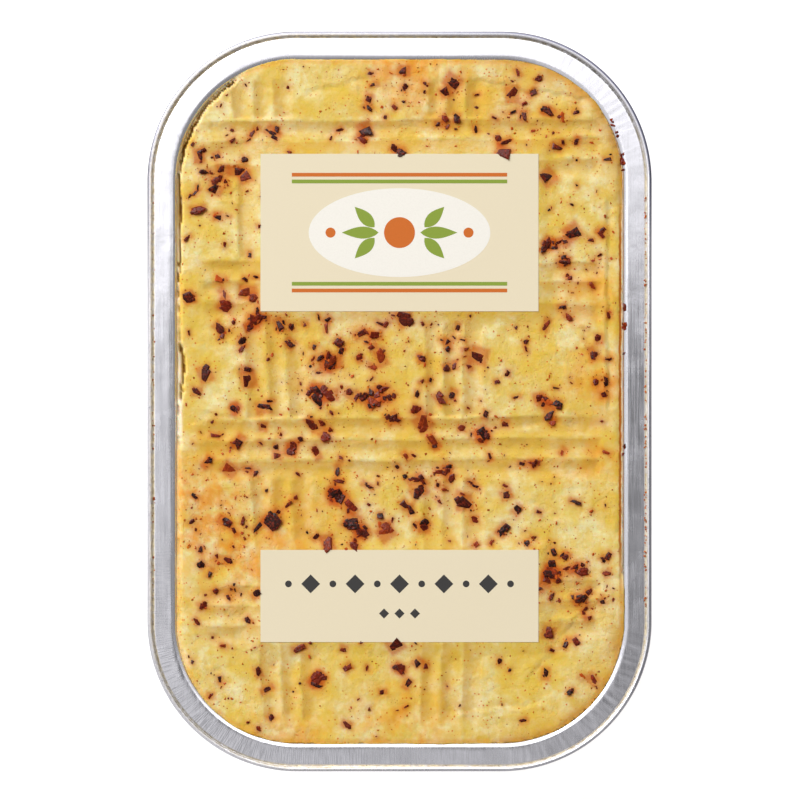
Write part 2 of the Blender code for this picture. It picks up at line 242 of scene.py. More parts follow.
class PieFlakeSettings(bpy.types.PropertyGroup):
    """Numbers, sizes and colours of the chilli flakes."""

    seed: count_setting("Seed", 5, "Seed of the strewing")
    large: count_setting("Large", 500, "Number of flakes of full size, heaps included")
    small: count_setting("Small", 460, "Number of small flakes")
    dust: count_setting("Dust", 4200, "Number of dust specks")
    crumbs: count_setting("Crumbs", 150, "Number of crumbs caught in the rim")
    typical: size_setting("Typical length", 2.85, "Middling length of a large flake")
    dark: colour_setting("Dark", 30, 7, 2, "Skin of the dark flakes")
    dark_flesh: colour_setting("Dark flesh", 146, 42, 8, "Broken edges of the dark flakes")
    red: colour_setting("Red", 84, 22, 6, "Skin of the red flakes")
    red_flesh: colour_setting("Red flesh", 174, 64, 14, "Broken edges of the red flakes")
    orange: colour_setting("Orange", 190, 80, 22, "Skin of the orange flakes")
    orange_flesh: colour_setting("Orange flesh", 205, 98, 36, "Broken edges of the orange flakes")
    dust_dark: colour_setting("Dark dust", 156, 66, 4, "Darkest dust")
    dust_light: colour_setting("Light dust", 238, 132, 6, "Lightest dust")


class PieCardSettings(bpy.types.PropertyGroup):
    """Colours of the cards and of the inks on them."""

    paper: colour_setting("Paper", 239, 230, 206, "Cream card")
    curl: size_setting("Curl", 0.08, "How far the corners lift")
    white: colour_setting("White", 250, 250, 248, "White field")
    orange: colour_setting("Orange ink", 206, 106, 24, "Orange ink")
    green: colour_setting("Green ink", 134, 158, 52, "Green ink")
    black: colour_setting("Dark ink", 30, 28, 27, "Dark ink")


class PieStageSettings(bpy.types.PropertyGroup):
    """Floor, lights and camera."""

    camera_height: size_setting("Camera height", 1300, "Height of the camera above the floor")
    fill: share_setting("Fill", 0.08, "Brightness of the surroundings at the right")
    glow: share_setting("Glow", 0.7, "Brightness of the surroundings at the left")
    warm: colour_setting("Warm", 255, 236, 194, "Colour of the light from around")
    cool: colour_setting("Cool", 245, 248, 255, "Colour of the main light")
    mirrored_right: share_setting("Mirrored right", 0.42, "Brightness mirrored at the right")
    mirrored_above: share_setting("Mirrored above", 0.15, "Share of brightness mirrored from above")
    mirrored_far: share_setting("Mirrored far", 2.6, "Brightness mirrored beyond the far end")
    mirrored_low: share_setting("Mirrored low", 0.5, "Share of brightness mirrored from the horizon")
    key: share_setting("Key", 94.0, "Power of the main soft light, in watts")
    panel: share_setting("Panel", 1.35, "Power of the panel that the tray's far end mirrors, in watts")
    floor: share_setting("Floor", 0.9, "Brightness of the white floor")


def smooth(share):
    """Eases from 0 to 1."""
    share = np.clip(share, 0, 1)
    return share * share * (3 - 2 * share)


def rises(places, start, width):
    """0 up to start and 1 from width past it. Places are in metres, start and width in mm."""
    return smooth((places / MM - start) / width)


def falls(places, end, width):
    """1 up to width before the end and 0 from there on."""
    return smooth((end - places / MM) / width)


def cloud(x, y, size, seed):
    """Smooth noise of about -1 to 1. size is its features' size, or their sizes along x and y."""
    size_x, size_y = size if isinstance(size, tuple) else (size, size)
    cells = 128
    turns = np.random.default_rng(seed).uniform(0, math.tau, (cells, cells))
    u, v = np.asarray(x) / size_x, np.asarray(y) / size_y
    i, j = np.floor(u).astype(int), np.floor(v).astype(int)
    f, g = u - i, v - j

    def pull(step_i, step_j):
        turn = turns[(i + step_i) % cells, (j + step_j) % cells]
        return np.cos(turn) * (f - step_i) + np.sin(turn) * (g - step_j)

    ease_f, ease_g = f**3 * (f * (f * 6 - 15) + 10), g**3 * (g * (g * 6 - 15) + 10)
    near = pull(0, 0) + ease_f * (pull(1, 0) - pull(0, 0))
    far = pull(0, 1) + ease_f * (pull(1, 1) - pull(0, 1))
    return 1.5 * (near + ease_g * (far - near))


def drift(places, size, seed):
    """Smooth noise along one line."""
    return cloud(places, 0 * places, size, seed)


def blank_object(name):
    obj = bpy.data.objects.new(name, bpy.data.meshes.new(name))
    bpy.context.scene.collection.objects.link(obj)
    return obj


def object_from_builder(name, builder):
    obj = blank_object(name)
    builder.to_mesh(obj.data)
    builder.free()
    return obj


def is_vert(item):
    return isinstance(item, bmesh.types.BMVert)


def bake_modifiers(obj):
    """Makes an object's evaluated shape its plain mesh."""
    graph = bpy.context.evaluated_depsgraph_get()
    baked = bpy.data.meshes.new_from_object(obj.evaluated_get(graph))
    obj.modifiers.clear()
    old, obj.data = obj.data, baked
    bpy.data.meshes.remove(old)
    baked.name = obj.name


def finish_piece(obj, slot, material, *nodes):
    """Gives a piece its material and its place on the part. slot is not used."""
    obj.data.materials.clear()
    obj.data.materials.append(material)
    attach(obj, "root")
    if nodes:
        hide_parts(*nodes)


def add_attribute(mesh, name, values, kind="FLOAT"):
    attribute = mesh.attributes.new(name, kind, "POINT")
    field = "vector" if kind == "FLOAT_VECTOR" else "value"
    attribute.data.foreach_set(field, np.asarray(values).ravel())


class Finish:
    """A material and short ways to add nodes to it."""

    def __init__(self, name):
        self.material = bpy.data.materials.new(name)
        self.material.use_nodes = True
        self.tree = self.material.node_tree
        self.shader = self.tree.nodes["Principled BSDF"]

    def put(self, socket, value):
        """Sets a socket to a plain value or links it to another node's output."""
        if isinstance(value, bpy.types.NodeSocket):
            self.tree.links.new(value, socket)
        elif socket.type == "RGBA":
            socket.default_value = (*value, 1)
        else:
            socket.default_value = value

    def set(self, **values):
        for name, value in values.items():
            self.put(self.shader.inputs[name.replace("_", " ").title().replace("Ior", "IOR")], value)

    def node(self, kind, **options):
        made = self.tree.nodes.new(kind)
        for name, value in options.items():
            setattr(made, name, value)
        return made

    def product(self, first, second):
        return self.maths("MULTIPLY", first, second)

    def place(self, stretch=(1, 1, 1)):
        """Object coordinates, stretched."""
        mapping = self.node("ShaderNodeMapping")
        mapping.inputs["Scale"].default_value = stretch
        self.put(mapping.inputs["Vector"], self.node("ShaderNodeTexCoord").outputs["Object"])
        return mapping.outputs["Vector"]

    def noise(self, size, detail=3.0, roughness=0.5, stretch=(1, 1, 1), vector=None):
        made = self.node("ShaderNodeTexNoise")
        made.inputs["Scale"].default_value = 1 / size
        made.inputs["Detail"].default_value = detail
        made.inputs["Roughness"].default_value = roughness
        self.put(made.inputs["Vector"], vector or self.place(stretch))
        return made.outputs["Fac"]

    def ramp(self, value, low, high, bottom=0.0, top=1.0):
        """Maps low..high smoothly to bottom..top."""
        made = self.node("ShaderNodeMapRange", interpolation_type="SMOOTHSTEP")
        ends = {"Value": value, "From Min": low, "From Max": high, "To Min": bottom, "To Max": top}
        for name, end in ends.items():
            self.put(made.inputs[name], end)
        return made.outputs["Result"]

    def maths(self, operation, first, second):
        made = self.node("ShaderNodeMath", operation=operation)
        self.put(made.inputs[0], first)
        self.put(made.inputs[1], second)
        return made.outputs["Value"]

    def mix(self, share, first, second, blend="MIX"):
        made = self.node("ShaderNodeMix", data_type="RGBA", blend_type=blend)
        self.put(made.inputs[0], share)
        self.put(made.inputs[6], first)
        self.put(made.inputs[7], second)
        return made.outputs[2]

    def attribute(self, name, output="Fac"):
        return self.node("ShaderNodeAttribute", attribute_name=name).outputs[output]

    def bump(self, height, depth):
        """Adds a bump of a depth in metres on top of those already there."""
        made = self.node("ShaderNodeBump")
        made.inputs["Distance"].default_value = depth
        self.put(made.inputs["Height"], height)
        normal = self.shader.inputs["Normal"]
        if normal.is_linked:
            self.put(made.inputs["Normal"], normal.links[0].from_socket)
        self.put(normal, made.outputs["Normal"])


class TrayShape:
    """The tray's section, worked out from its settings. Insets run inwards from the outer edge."""

    def __init__(self, tray):
        self.tray = tray
        self.bead_level = TRAY_HIGH.z - tray.bead_radius
        self.flange_top = self.bead_level + tray.sheet / 2
        self.shoulder = (tray.flange_inner, self.flange_top - tray.shoulder_radius)
        self.wall_top = tray.flange_inner + tray.shoulder_radius

    def wall_inset(self, height):
        """Inset of the wall's food side at a height on its straight part."""
        draft, radius = self.tray.wall_draft, self.tray.shoulder_radius
        top = self.shoulder[1] + radius * math.sin(draft)
        return self.shoulder[0] + radius * math.cos(draft) + (top - height) * math.tan(draft)

    def base_bend(self, radius, steps=8):
        """The bend from the wall's foot to the flat base."""
        tray = self.tray
        height = tray.sheet + tray.base_radius
        foot = height - tray.base_radius * math.sin(tray.wall_draft)
        centre = (self.wall_inset(foot) + tray.base_radius * math.cos(tray.wall_draft), height)
        return arc(centre, radius, math.pi + tray.wall_draft, math.pi * 1.5, steps)

    def inside_depth(self, x, y, inset):
        """How far points lie inside the outline drawn in by inset, and which way out is."""
        radius = self.tray.corner_radius
        past_x = np.abs(x) - (HALF_WIDTH - radius)
        past_y = np.abs(y) - (HALF_LENGTH - radius)
        out_x, out_y = np.maximum(past_x, 0), np.maximum(past_y, 0)
        reach = np.hypot(out_x, out_y)
        depth = radius - inset - reach - np.minimum(np.maximum(past_x, past_y), 0)
        reach = np.maximum(reach, 1e-9)
        return depth, np.sign(x) * out_x / reach, np.sign(y) * out_y / reach

    def section(self):
        """The tray's section as (inset, height, share of flange, share of wall, grime, edge)."""
        tray, upright, draft = self.tray, math.pi / 2, self.tray.wall_draft
        bead_inner = tray.bead_width
        lip_height = self.flange_height(bead_inner)
        meet = math.asin((lip_height - self.bead_level) / tray.bead_radius)
        under = math.asin((lip_height - tray.sheet - self.bead_level) / tray.bead_radius)
        outer_bend = self.base_bend(tray.base_radius + tray.sheet)[::-1]
        under_shoulder = arc(self.shoulder, tray.shoulder_radius - tray.sheet, draft, upright, 5)
        over_shoulder = arc(self.shoulder, tray.shoulder_radius, upright, draft, 9)
        inner_bend = self.base_bend(tray.base_radius, 4)
        shares = (0.02, 0.05, 0.09, 0.14, 0.19, 0.3, 0.42, 0.55, 0.68, 0.8, 0.9)
        flange = [bead_inner + (tray.flange_inner - bead_inner) * share for share in shares]
        rows = [(*point, 0, 0, 0, 0) for point in outer_bend]
        rows += [(*point, 0, 1, 0, 0) for point in between(outer_bend[-1], under_shoulder[0], 8)]
        rows += [(*point, 0.4, 0.2, 0, 0) for point in under_shoulder]
        for inset in reversed(flange[4:]):
            rows.append((inset, self.flange_height(inset) - tray.sheet, 1, 0, 0, 0))
        for inset, height in arc((0, 0), tray.bead_radius, under, meet - math.tau, 30):
            across, up = inset / tray.bead_radius, height / tray.bead_radius
            if up > 0:
                across = math.copysign(abs(across) ** tray.bead_flatness, across)
                up = up**tray.bead_flatness
            inset = (across + 1) * tray.bead_width / 2
            height = up * tray.bead_radius + self.bead_level
            caught = (inset / tray.bead_width) ** 3 if height > self.bead_level else 0
            # The last value marks the bead's outer side, which may take a painted dark reflection.
            rows.append((inset, height, 0.35, 0, caught, float(inset < 0.64 * tray.bead_width)))
        for inset in flange:
            caught = max(0.0, 1 - (inset - bead_inner) / tray.channel_width)
            rows.append((inset, self.flange_height(inset), 1, 0, min(1.0, 2.2 * caught), 0))
        rows += [(*point, 0.4, 0.1, 0, 0) for point in over_shoulder]
        rows += [(*point, 0, 0.8, 0, 0) for point in between(over_shoulder[-1], inner_bend[0], 5)]
        return rows + [(*point, 0, 0, 0, 0) for point in inner_bend]

    def flange_height(self, inset):
        """Height of the flange's top, which falls outwards and dips into a crease by the bead."""
        tray = self.tray
        bead_inner = tray.bead_width
        out = (tray.flange_inner - inset) / (tray.flange_inner - bead_inner)
        near = max(0.0, 1 - (inset - bead_inner) / tray.channel_width)
        return self.flange_top - tray.flange_fall * out - tray.channel_depth * near * near * (3 - 2 * near)

    def columns(self):
        """Points round the outer edge as arrays: x, y, outward x, outward y, run, cornerness."""
        tray, rows, run = self.tray, [], 0.0
        radius = tray.corner_radius
        corner_steps = round(radius * math.pi / 2 / tray.column_step)
        sides = ((1, 1), (-1, 1), (-1, -1), (1, -1))
        for quarter, (side_x, side_y) in enumerate(sides):
            centre = (side_x * (HALF_WIDTH - radius), side_y * (HALF_LENGTH - radius))
            for step in range(corner_steps + 1):
                angle = math.pi / 2 * (quarter + step / corner_steps)
                out = (math.cos(angle), math.sin(angle))
                corner = math.sin(math.pi * step / corner_steps) ** 0.7
                place = (centre[0] + radius * out[0], centre[1] + radius * out[1])
                rows.append((*place, *out, run + radius * math.pi / 2 * step / corner_steps, corner))
            run = rows[-1][4]
            next_x, next_y = sides[(quarter + 1) % 4]
            start = Vector(rows[-1][:2])
            end = Vector((next_x * (HALF_WIDTH - radius), next_y * (HALF_LENGTH - radius)))
            end += Vector(rows[-1][2:4]) * radius
            steps = round((end - start).length / (4 * tray.column_step))
            for step in range(1, steps):
                place = start.lerp(end, step / steps)
                rows.append((*place, *rows[-1][2:4], run + (place - start).length, 0.0))
            run += (end - start).length
        return np.array(rows).T


def arc(centre, radius, first, last, steps):
    """Points of an arc from angle first to last, 0 being straight inwards."""
    angles = [first + (last - first) * step / steps for step in range(steps + 1)]
    return [(centre[0] + radius * math.cos(a), centre[1] + radius * math.sin(a)) for a in angles]


def between(start, end, count):
    """Points strictly between two others."""
    shares = [(step + 1) / (count + 1) for step in range(count)]
    return [(start[0] + (end[0] - start[0]) * s, start[1] + (end[1] - start[1]) * s) for s in shares]


def loft(name, insets, heights, columns):
    """A closed mesh from rings round the tray: insets and heights by row and column."""
    x, y, out_x, out_y = columns[:4]
    points = np.stack([x - out_x * insets, y - out_y * insets, heights], axis=-1)
    across = insets.shape[1]
    builder = bmesh.new()
    rings = [[builder.verts.new(point) for point in ring] for ring in points.tolist()]
    for lower, upper in zip(rings, rings[1:]):
        for i in range(across):
            builder.faces.new((lower[i - 1], lower[i], upper[i], upper[i - 1]))
    builder.faces.new(rings[0])
    builder.faces.new(rings[-1])
    bmesh.ops.recalc_face_normals(builder, faces=builder.faces)
    obj = object_from_builder(name, builder)
    obj.data.shade_smooth()
    return obj


def foil_finish(tray):
    """Bright rolled foil, with streaks along the sheet, smears, wrinkles and caught food. Painted shade
    darkens the wrinkle lines and the clean crease inside the bead, and a painted dark reflection lines the
    bead's outer side.
    """
    foil = Finish("foil")
    streaks = foil.noise(0.35 * MM, 2.0, 0.6, (1, 0.02, 1))
    broad = foil.noise(2.2 * MM, 2.0, 0.5, (1, 0.03, 1))
    smears = foil.noise(9 * MM, 4.0, 0.6)
    tint = foil.mix(foil.ramp(smears, 0.35, 0.7), tray.colour, tray.colour * 0.9)
    tint = foil.mix(foil.ramp(streaks, 0.45, 0.75, 0, 0.4), tint, tray.colour * 0.8)
    wrinkles = foil.noise(0.3 * MM, 0.0, 0.5, vector=foil.attribute("along", "Vector"))
    wrinkles = foil.product(foil.ramp(wrinkles, 0.42, 0.66), foil.attribute("wrinkled"))
    # Painted shade: the flange's wrinkle lines darken the foil's colour as their creases' shading would.
    tint = foil.mix(foil.product(wrinkles, 0.6), tint, tray.colour * 0.5)
    # Painted reflection: the bead's outer side takes a dark line.
    tint = foil.mix(foil.attribute("edge"), tint, tray.shade)
    film = foil.ramp(foil.noise(2.4 * MM, 4.0, 0.6), 0.36, 0.6, 0.3, 1.0)
    film = foil.product(foil.attribute("film"), film)
    caught = foil.ramp(foil.noise(1.6 * MM, 4.0, 0.7), 0.36, 0.56, 0.35, 1.0)
    caught = foil.product(foil.attribute("grime"), caught)
    crumbs = foil.ramp(foil.noise(1.3 * MM, 3.0), 0.4, 0.58)
    crumbs = foil.mix(crumbs, tray.grime, tray.crumb)
    dark = foil.ramp(foil.noise(0.9 * MM, 2.0, 0.6), 0.62, 0.7, 0, 0.85)
    crumbs = foil.mix(dark, crumbs, tray.burnt)
    # Painted shadow in the clean crease inside the bead.
    crumbs = foil.mix(foil.attribute("murk"), crumbs, tray.murk)
    tint = foil.mix(film, tint, tray.film)
    food = foil.maths("MAXIMUM", caught, film)
    grain = foil.ramp(streaks, 0.3, 0.7, 0.15, 0.25)
    grain = foil.maths("ADD", grain, foil.ramp(smears, 0.4, 0.7, 0, 0.08))
    foil.set(base_color=foil.mix(caught, tint, crumbs), roughness=foil.maths("ADD", grain, food))
    foil.set(metallic=foil.maths("SUBTRACT", 1.0, food))
    foil.bump(streaks, 0.008 * MM)
    foil.bump(broad, 0.03 * MM)
    foil.bump(foil.noise(5 * MM, 3.0), 0.05 * MM)
    foil.bump(wrinkles, 0.015 * MM)
    return foil.material


def foil_fields(tray, inset, flange, grime, edge, columns):
    """Where the foil is wrinkled, where its bead takes a painted dark reflection, what its crease has
    caught, and where that crease takes painted shadow.
    """
    x, y, run, corner = (columns[row][None, :] for row in (0, 1, 4, 5))
    near_left = falls(x, 30, 60) * falls(y, -20, 50)
    wrinkled = (flange >= 1) * np.clip(0.2 * corner + near_left * (0.5 + 0.5 * corner), 0, 1)
    wrinkled = wrinkled * (0.7 + 0.5 * drift(run, 11 * MM, 36))
    far_end, left, right_side = rises(y, 20, 50), falls(x, 20, 40), rises(x, 66, 6)
    far_right = corner * (x > 0) * (y > 0)
    dark_corner = far_right + 0.7 * corner * (x < 0) * (y < 0)
    inner = np.clip((inset / tray.bead_width) ** 8, 0, 1)
    on_bead = np.where(grime > 0, grime * left + inner * (1 - left), 0)
    thin = 1 + 4 * rises(np.abs(y), 66, 20) * (1 - far_right) + right_side
    far_line = (inset < 0.45 * tray.bead_width) * far_end * (0.7 + 0.3 * rises(x, 0, 60))
    return {
        "grime": np.where(inset < tray.bead_width, on_bead, grime**thin),
        # Painted dark reflection on the bead's outer side, at the far end and along the right.
        "edge": edge * np.maximum(far_line, 0.42 * right_side),
        "wrinkled": wrinkled,
        # Painted shadow in the crease: strong at the far right and near left corners, and a little along
        # the right side.
        "murk": 0.95 * dark_corner + 0.22 * (1 - dark_corner) * rises(x, 0, 30),
    }


def make_tray(tray):
    """The foil tray, with its rolled rim, creased corners and slightly uneven flange."""
    shape = TrayShape(tray)
    inset, height, flange, wall, grime, edge = (column[:, None] for column in np.array(shape.section()).T)
    columns = shape.columns()
    run, corner = columns[4:, None]
    sway = tray.sway * cloud(run, inset * 2, 24 * MM, 31)
    puckers = tray.pucker * cloud(run, inset, (1.5 * MM, 9 * MM), 32) * (0.12 + corner)
    dents = 0.035 * MM * cloud(run, inset, (7 * MM, 4 * MM), 33)
    heights = height + flange * (sway + puckers + dents)
    heights = np.minimum(heights, TRAY_HIGH.z)
    creases = tray.crease * cloud(run, height, (3.2 * MM, 40 * MM), 34) * corner
    ripple = 0.05 * MM * cloud(run, height, (14 * MM, 12 * MM), 35)
    insets = np.maximum(inset + wall * (creases + ripple), 0)
    obj = loft("tray", insets, heights, columns)
    for name, values in foil_fields(tray, inset, flange, grime, edge, columns).items():
        add_attribute(obj.data, name, values + 0 * insets)
    food_side = np.arange(len(height))[:, None] > np.argmax(height)
    film = food_side * (inset > FILM_INSET) * (np.abs(columns[1]) < FILM_REACH)
    add_attribute(obj.data, "film", film + 0 * insets)
    along = np.stack([run + 0 * insets, WRINKLE_STRETCH * inset + 0 * insets, 0 * insets], axis=-1)
    add_attribute(obj.data, "along", along, "FLOAT_VECTOR")
    finish_piece(obj, "foil", foil_finish(tray), "foil_tray")


def ridge_line(ridge, ends, along, phase):
    """Where a ridge runs, in metres, at places along its stroke. It wanders a little."""
    low, high = ends
    share = (along / MM - low) / (high - low)
    place = ridge[0] + (ridge[1] - ridge[0]) * share
    wander = 0.22 * np.sin(along / (9 * MM) + phase) + 0.1 * np.sin(along / (3.1 * MM) + 2 * phase)
    wander += 0.05 * np.sin(along / (1.3 * MM) + 3 * phase)
    return (place + wander) * MM


def tooth_cuts(strokes, ends, along, across, towards, mash):
    """What the comb's teeth cut away, as shares of the groove's depth: the cut, the lip pushed up
    before each ridge, the stretch past each ridge that takes painted shade, and how far each
    stroke covers what was there.
    towards is the side of a ridge that its groove lies on."""
    cut, lip, scraped, cover = (np.zeros(np.shape(along)) for _ in range(4))
    for number, stroke in enumerate(strokes):
        lines = [ridge_line(ridge, ends, along, 1.7 * number + tooth) for tooth, ridge in enumerate(stroke)]
        for tooth, line in enumerate(lines):
            past = towards * (across - line)
            last = tooth == len(lines) - 1
            pitch = LAST_PITCH if last else towards * (lines[tooth + 1] - line)
            force = 1 + 0.22 * cloud(along, across * 0 + 10 * tooth * MM, 17 * MM, 40 + number)
            start = 0.0 if tooth == 0 else WORN_RIDGE
            end = 0.0 if last else WORN_RIDGE
            bottom = 0.48 * pitch
            past = past + 0.12 * MM * cloud(along, across, 1.7 * MM, 50) * rises(past, -0.25, 0.5)
            fall = 0.06 * smooth(past / mash.groove_wall) + 0.94 * smooth(0.1 + 0.9 * past / bottom)
            climb = smooth((past - bottom) / (pitch - bottom))
            depth = start + (1 - start) * fall + (end - 1) * climb
            inside = (past >= 0) & (past < pitch)
            cut += np.where(inside, depth * force, 0)
            lip += np.exp(-(((past + 0.3 * MM) / (0.5 * MM)) ** 2)) * force
            # Painted shade: strongest just past each ridge, on the fall that faces away from the light, and
            # fading out before the next ridge.
            fall_shade = rises(past, 0, 0.7) * np.clip((pitch - past) / (0.8 * pitch), 0, 1)
            scraped += np.where(inside, fall_shade, 0)
        first = towards * (across - lines[0])
        end_of_stroke = towards * (lines[-1] - lines[0]) + 4.6 * MM
        cover = np.maximum(cover, rises(first, -1, 1) * (1 - rises(first - end_of_stroke, 0, 2.2)))
    return cut, lip, scraped, cover


def fold_heights(x, y):
    """How far the folds raise or lower the mash."""
    height = np.zeros(np.shape(x))
    for number, (start_x, start_y, end_x, end_y, drop, wander) in enumerate(FOLDS):
        length = math.hypot(end_x - start_x, end_y - start_y) * MM
        along_x, along_y = (end_x - start_x) * MM / length, (end_y - start_y) * MM / length
        past_x, past_y = x - start_x * MM, y - start_y * MM
        along = past_x * along_x + past_y * along_y
        across = past_y * along_x - past_x * along_y
        bends = drift(along, 7 * MM, 60 + number) + 0.4 * drift(along, 2 * MM, 80 + number)
        past = (across - wander * MM * bends) * math.copysign(1, drop)
        ends = rises(along, 0, 4) * falls(along - length, 0, 4)
        step = rises(past, 0, 0.45) * np.exp(-np.maximum(past, 0) / (2.6 * MM))
        ridge = 0.35 * np.exp(-((past / (0.7 * MM)) ** 2)) * (past < 0)
        height += abs(drop) * MM * (ridge - step) * ends
    return height


def mash_top(x, y, shape, mash):
    """Height of the mash's top, where shade is painted on its groove falls, and the gap's trench, which is
    painted as shade, and its film.
    """
    bend_x = x + 0.5 * MM * cloud(x, y, 7 * MM, 1)
    bend_y = y + 0.5 * MM * cloud(x, y, 7 * MM, 2)
    swell = cloud(x, y, 23 * MM, 3) + 0.45 * cloud(x, y, 9 * MM, 4)
    lumps = cloud(bend_x, bend_y, 3.4 * MM, 5) + 0.55 * cloud(bend_x, bend_y, 1.6 * MM, 6)
    torn = smooth((cloud(bend_x, bend_y, 2.6 * MM, 7) - 0.5) / 0.25) * smooth(cloud(x, y, 14 * MM, 8) + 0.3)
    across = tooth_cuts(CROSS_STROKES, CROSS_ENDS, x, y, -1, mash)
    along = tooth_cuts(LONG_STROKES, LONG_ENDS, y, x, 1, mash)
    cross_reach = falls(x - 1.2 * MM * drift(y, 4 * MM, 9), 60.5, 2.2)
    cross_reach = cross_reach * rises(x + 2 * MM * drift(y, 9 * MM, 10), -62, 9)
    long_reach = falls(np.abs(y), 97, 4)
    cover = across[3] * cross_reach
    cut = across[0] * cross_reach + mash.long_share * along[0] * long_reach * (1 - cover)
    lip = across[1] * cross_reach + along[1] * long_reach * (1 - cover)
    scraped = across[2] * cross_reach + mash.long_share * along[2] * long_reach * (1 - cover)
    combed_across = cloud(x, y, (13 * MM, 0.75 * MM), 11) * cover
    combed_along = cloud(x, y, (0.75 * MM, 13 * MM), 12) * (1 - cover)
    top = shape.flange_top - mash.level
    top = top + mash.swell * swell + mash.lumps * lumps + mash.drag * (combed_across + 0.6 * combed_along)
    top = top - mash.groove_depth * cut + mash.lip * lip - 0.18 * MM * torn + fold_heights(x, y)
    top, trench, film = round_edge(x, y, top, shape)
    return top, scraped, trench, film


def round_edge(x, y, top, shape):
    """Brings the mash down towards the wall: barely at the ends, more at the sides, and into a
    deep gap along parts of the left side. Also gives where the gap's trench is, whose bottom is
    painted dark as shade, and the film of mash between it and the wall."""
    depth, out_x, _ = shape.inside_depth(x, y, shape.wall_top)
    ragged = depth + 0.34 * MM * cloud(x, y, 3.5 * MM, 13) + 0.2 * MM * cloud(x, y, 1.3 * MM, 14)
    side = smooth((np.abs(out_x) - 0.75) / 0.25)
    side = side * np.where(x > 0, rises(y, -60, 20), 1)
    sag = 0.15 * MM + 0.6 * MM * side
    width = 1.3 * MM + 0.9 * MM * side
    top = top - sag * (1 - np.clip(ragged / width, 0, 1)) ** 2
    gap = np.interp(y / MM, GAP_PLACES, GAP_SHARES) * smooth((-out_x - 0.35) / 0.3)
    gap = np.clip(gap * (1 + 0.6 * drift(y, 9 * MM, 15)), 0, 1.2)
    film_width = 0.3 * MM + 0.9 * MM * np.exp(-(((y - 9 * MM) / (9 * MM)) ** 2))
    share = np.minimum(1, 1.5 * gap) * (1 - rises(ragged - film_width - 0.8 * MM * gap, 0, 0.4))
    trench = share * rises(ragged - film_width, 0, 0.3)
    return top - MM * (0.75 * share + 2.2 * trench), trench, share - trench


def grid_lines(strokes, reach, towards, mash):
    """Mesh lines that follow the ridges, close together where a tooth cut down, as
    (ridge, phase, next ridge, next phase, share of the way between)."""
    edge = reach / MM
    anchors = [((-edge, -edge), None), ((edge, edge), None)]
    for number, stroke in enumerate(strokes):
        anchors += [(ridge, 1.7 * number + tooth) for tooth, ridge in enumerate(stroke)]
    anchors.sort(key=lambda anchor: towards * sum(anchor[0]))
    lines = []
    for (ridge, phase), (after, next_phase) in zip(anchors, anchors[1:]):
        length = abs(sum(after) - sum(ridge)) / 2 * MM
        past, places = 0.0, []
        while past < length - mash.ridge_cell / 2:
            places.append(past)
            cutting = phase is not None and past < 1.1 * MM
            lipping = next_phase is not None and length - past < 1.0 * MM
            past += mash.ridge_cell if cutting or lipping else mash.cell
        lines += [(ridge, phase, after, next_phase, place / length) for place in places]
    ridge, phase = anchors[-1]
    return lines + [(ridge, phase, ridge, phase, 0.0)]


def line_places(lines, ends, along):
    """Where each mesh line runs, at places along it: one row for each line."""
    rows = []
    for number, (ridge, phase, after, next_phase, share) in enumerate(lines):
        here = along[number]
        start = ridge[0] * MM if phase is None else ridge_line(ridge, ends, here, phase)
        end = after[0] * MM if next_phase is None else ridge_line(after, ends, here, next_phase)
        rows.append(start + (end - start) * share + here * 0)
    return np.array(rows)


def mash_block(shape, mash):
    """A block over the whole tray, with the ruled mash as its top."""
    rows = grid_lines(CROSS_STROKES, HALF_LENGTH, -1, mash)
    columns = grid_lines(LONG_STROKES, HALF_WIDTH, 1, mash)
    x = np.zeros((len(rows), len(columns)))
    y = np.zeros_like(x)
    for _ in range(5):
        y = line_places(rows, CROSS_ENDS, x)
        x = line_places(columns, LONG_ENDS, y.T).T
    top = mash_top(x, y, shape, mash)[0]
    top = under_cards(x, y, top)
    builder = bmesh.new()
    bmesh.ops.create_grid(builder, x_segments=len(columns) - 1, y_segments=len(rows) - 1, size=1)
    points = np.stack([x, y, top], axis=-1).reshape(-1, 3).tolist()
    for vert, point in zip(builder.verts, points):
        vert.co = point
    raised = bmesh.ops.extrude_face_region(builder, geom=builder.faces[:])["geom"]
    for vert in filter(is_vert, raised):
        vert.co.z = -TRAY_HIGH.z
    bmesh.ops.recalc_face_normals(builder, faces=builder.faces)
    return object_from_builder("mash_block", builder)


def under_cards(x, y, top):
    """Presses the mash down under the cards, which lie on it."""
    for low, high in CARD_BOXES.values():
        margin = np.maximum(np.maximum(low.x - x, x - high.x), np.maximum(low.y - y, y - high.y))
        ceiling = CARD_TOP - CARD_THICKNESS - 0.05 * MM + 0.26 * MM * smooth(1 + margin / (0.8 * MM))
        ceiling = ceiling + np.maximum(margin, 0) * 0.8
        bank = np.where(margin > 0, CARD_TOP - 0.09 * MM - margin * 0.16, ceiling)
        top = np.minimum(np.maximum(top, bank), ceiling)
    return top


def loaf(shape, mash):
    """The room that the tray leaves for the food, open above the flange."""
    tray, gap = shape.tray, mash.wall_gap
    section = shape.base_bend(tray.base_radius - gap, 5)[::-1]
    section += arc(shape.shoulder, tray.shoulder_radius + gap, tray.wall_draft, math.radians(80), 8)
    section.append((section[-1][0], TRAY_HIGH.z + 5 * MM))
    inset, height = (column[:, None] for column in np.array(section).T)
    columns = shape.columns()[:, ::3]
    spread = np.zeros((1, columns.shape[1]))
    return loft("mash", inset + spread, height + spread, columns)


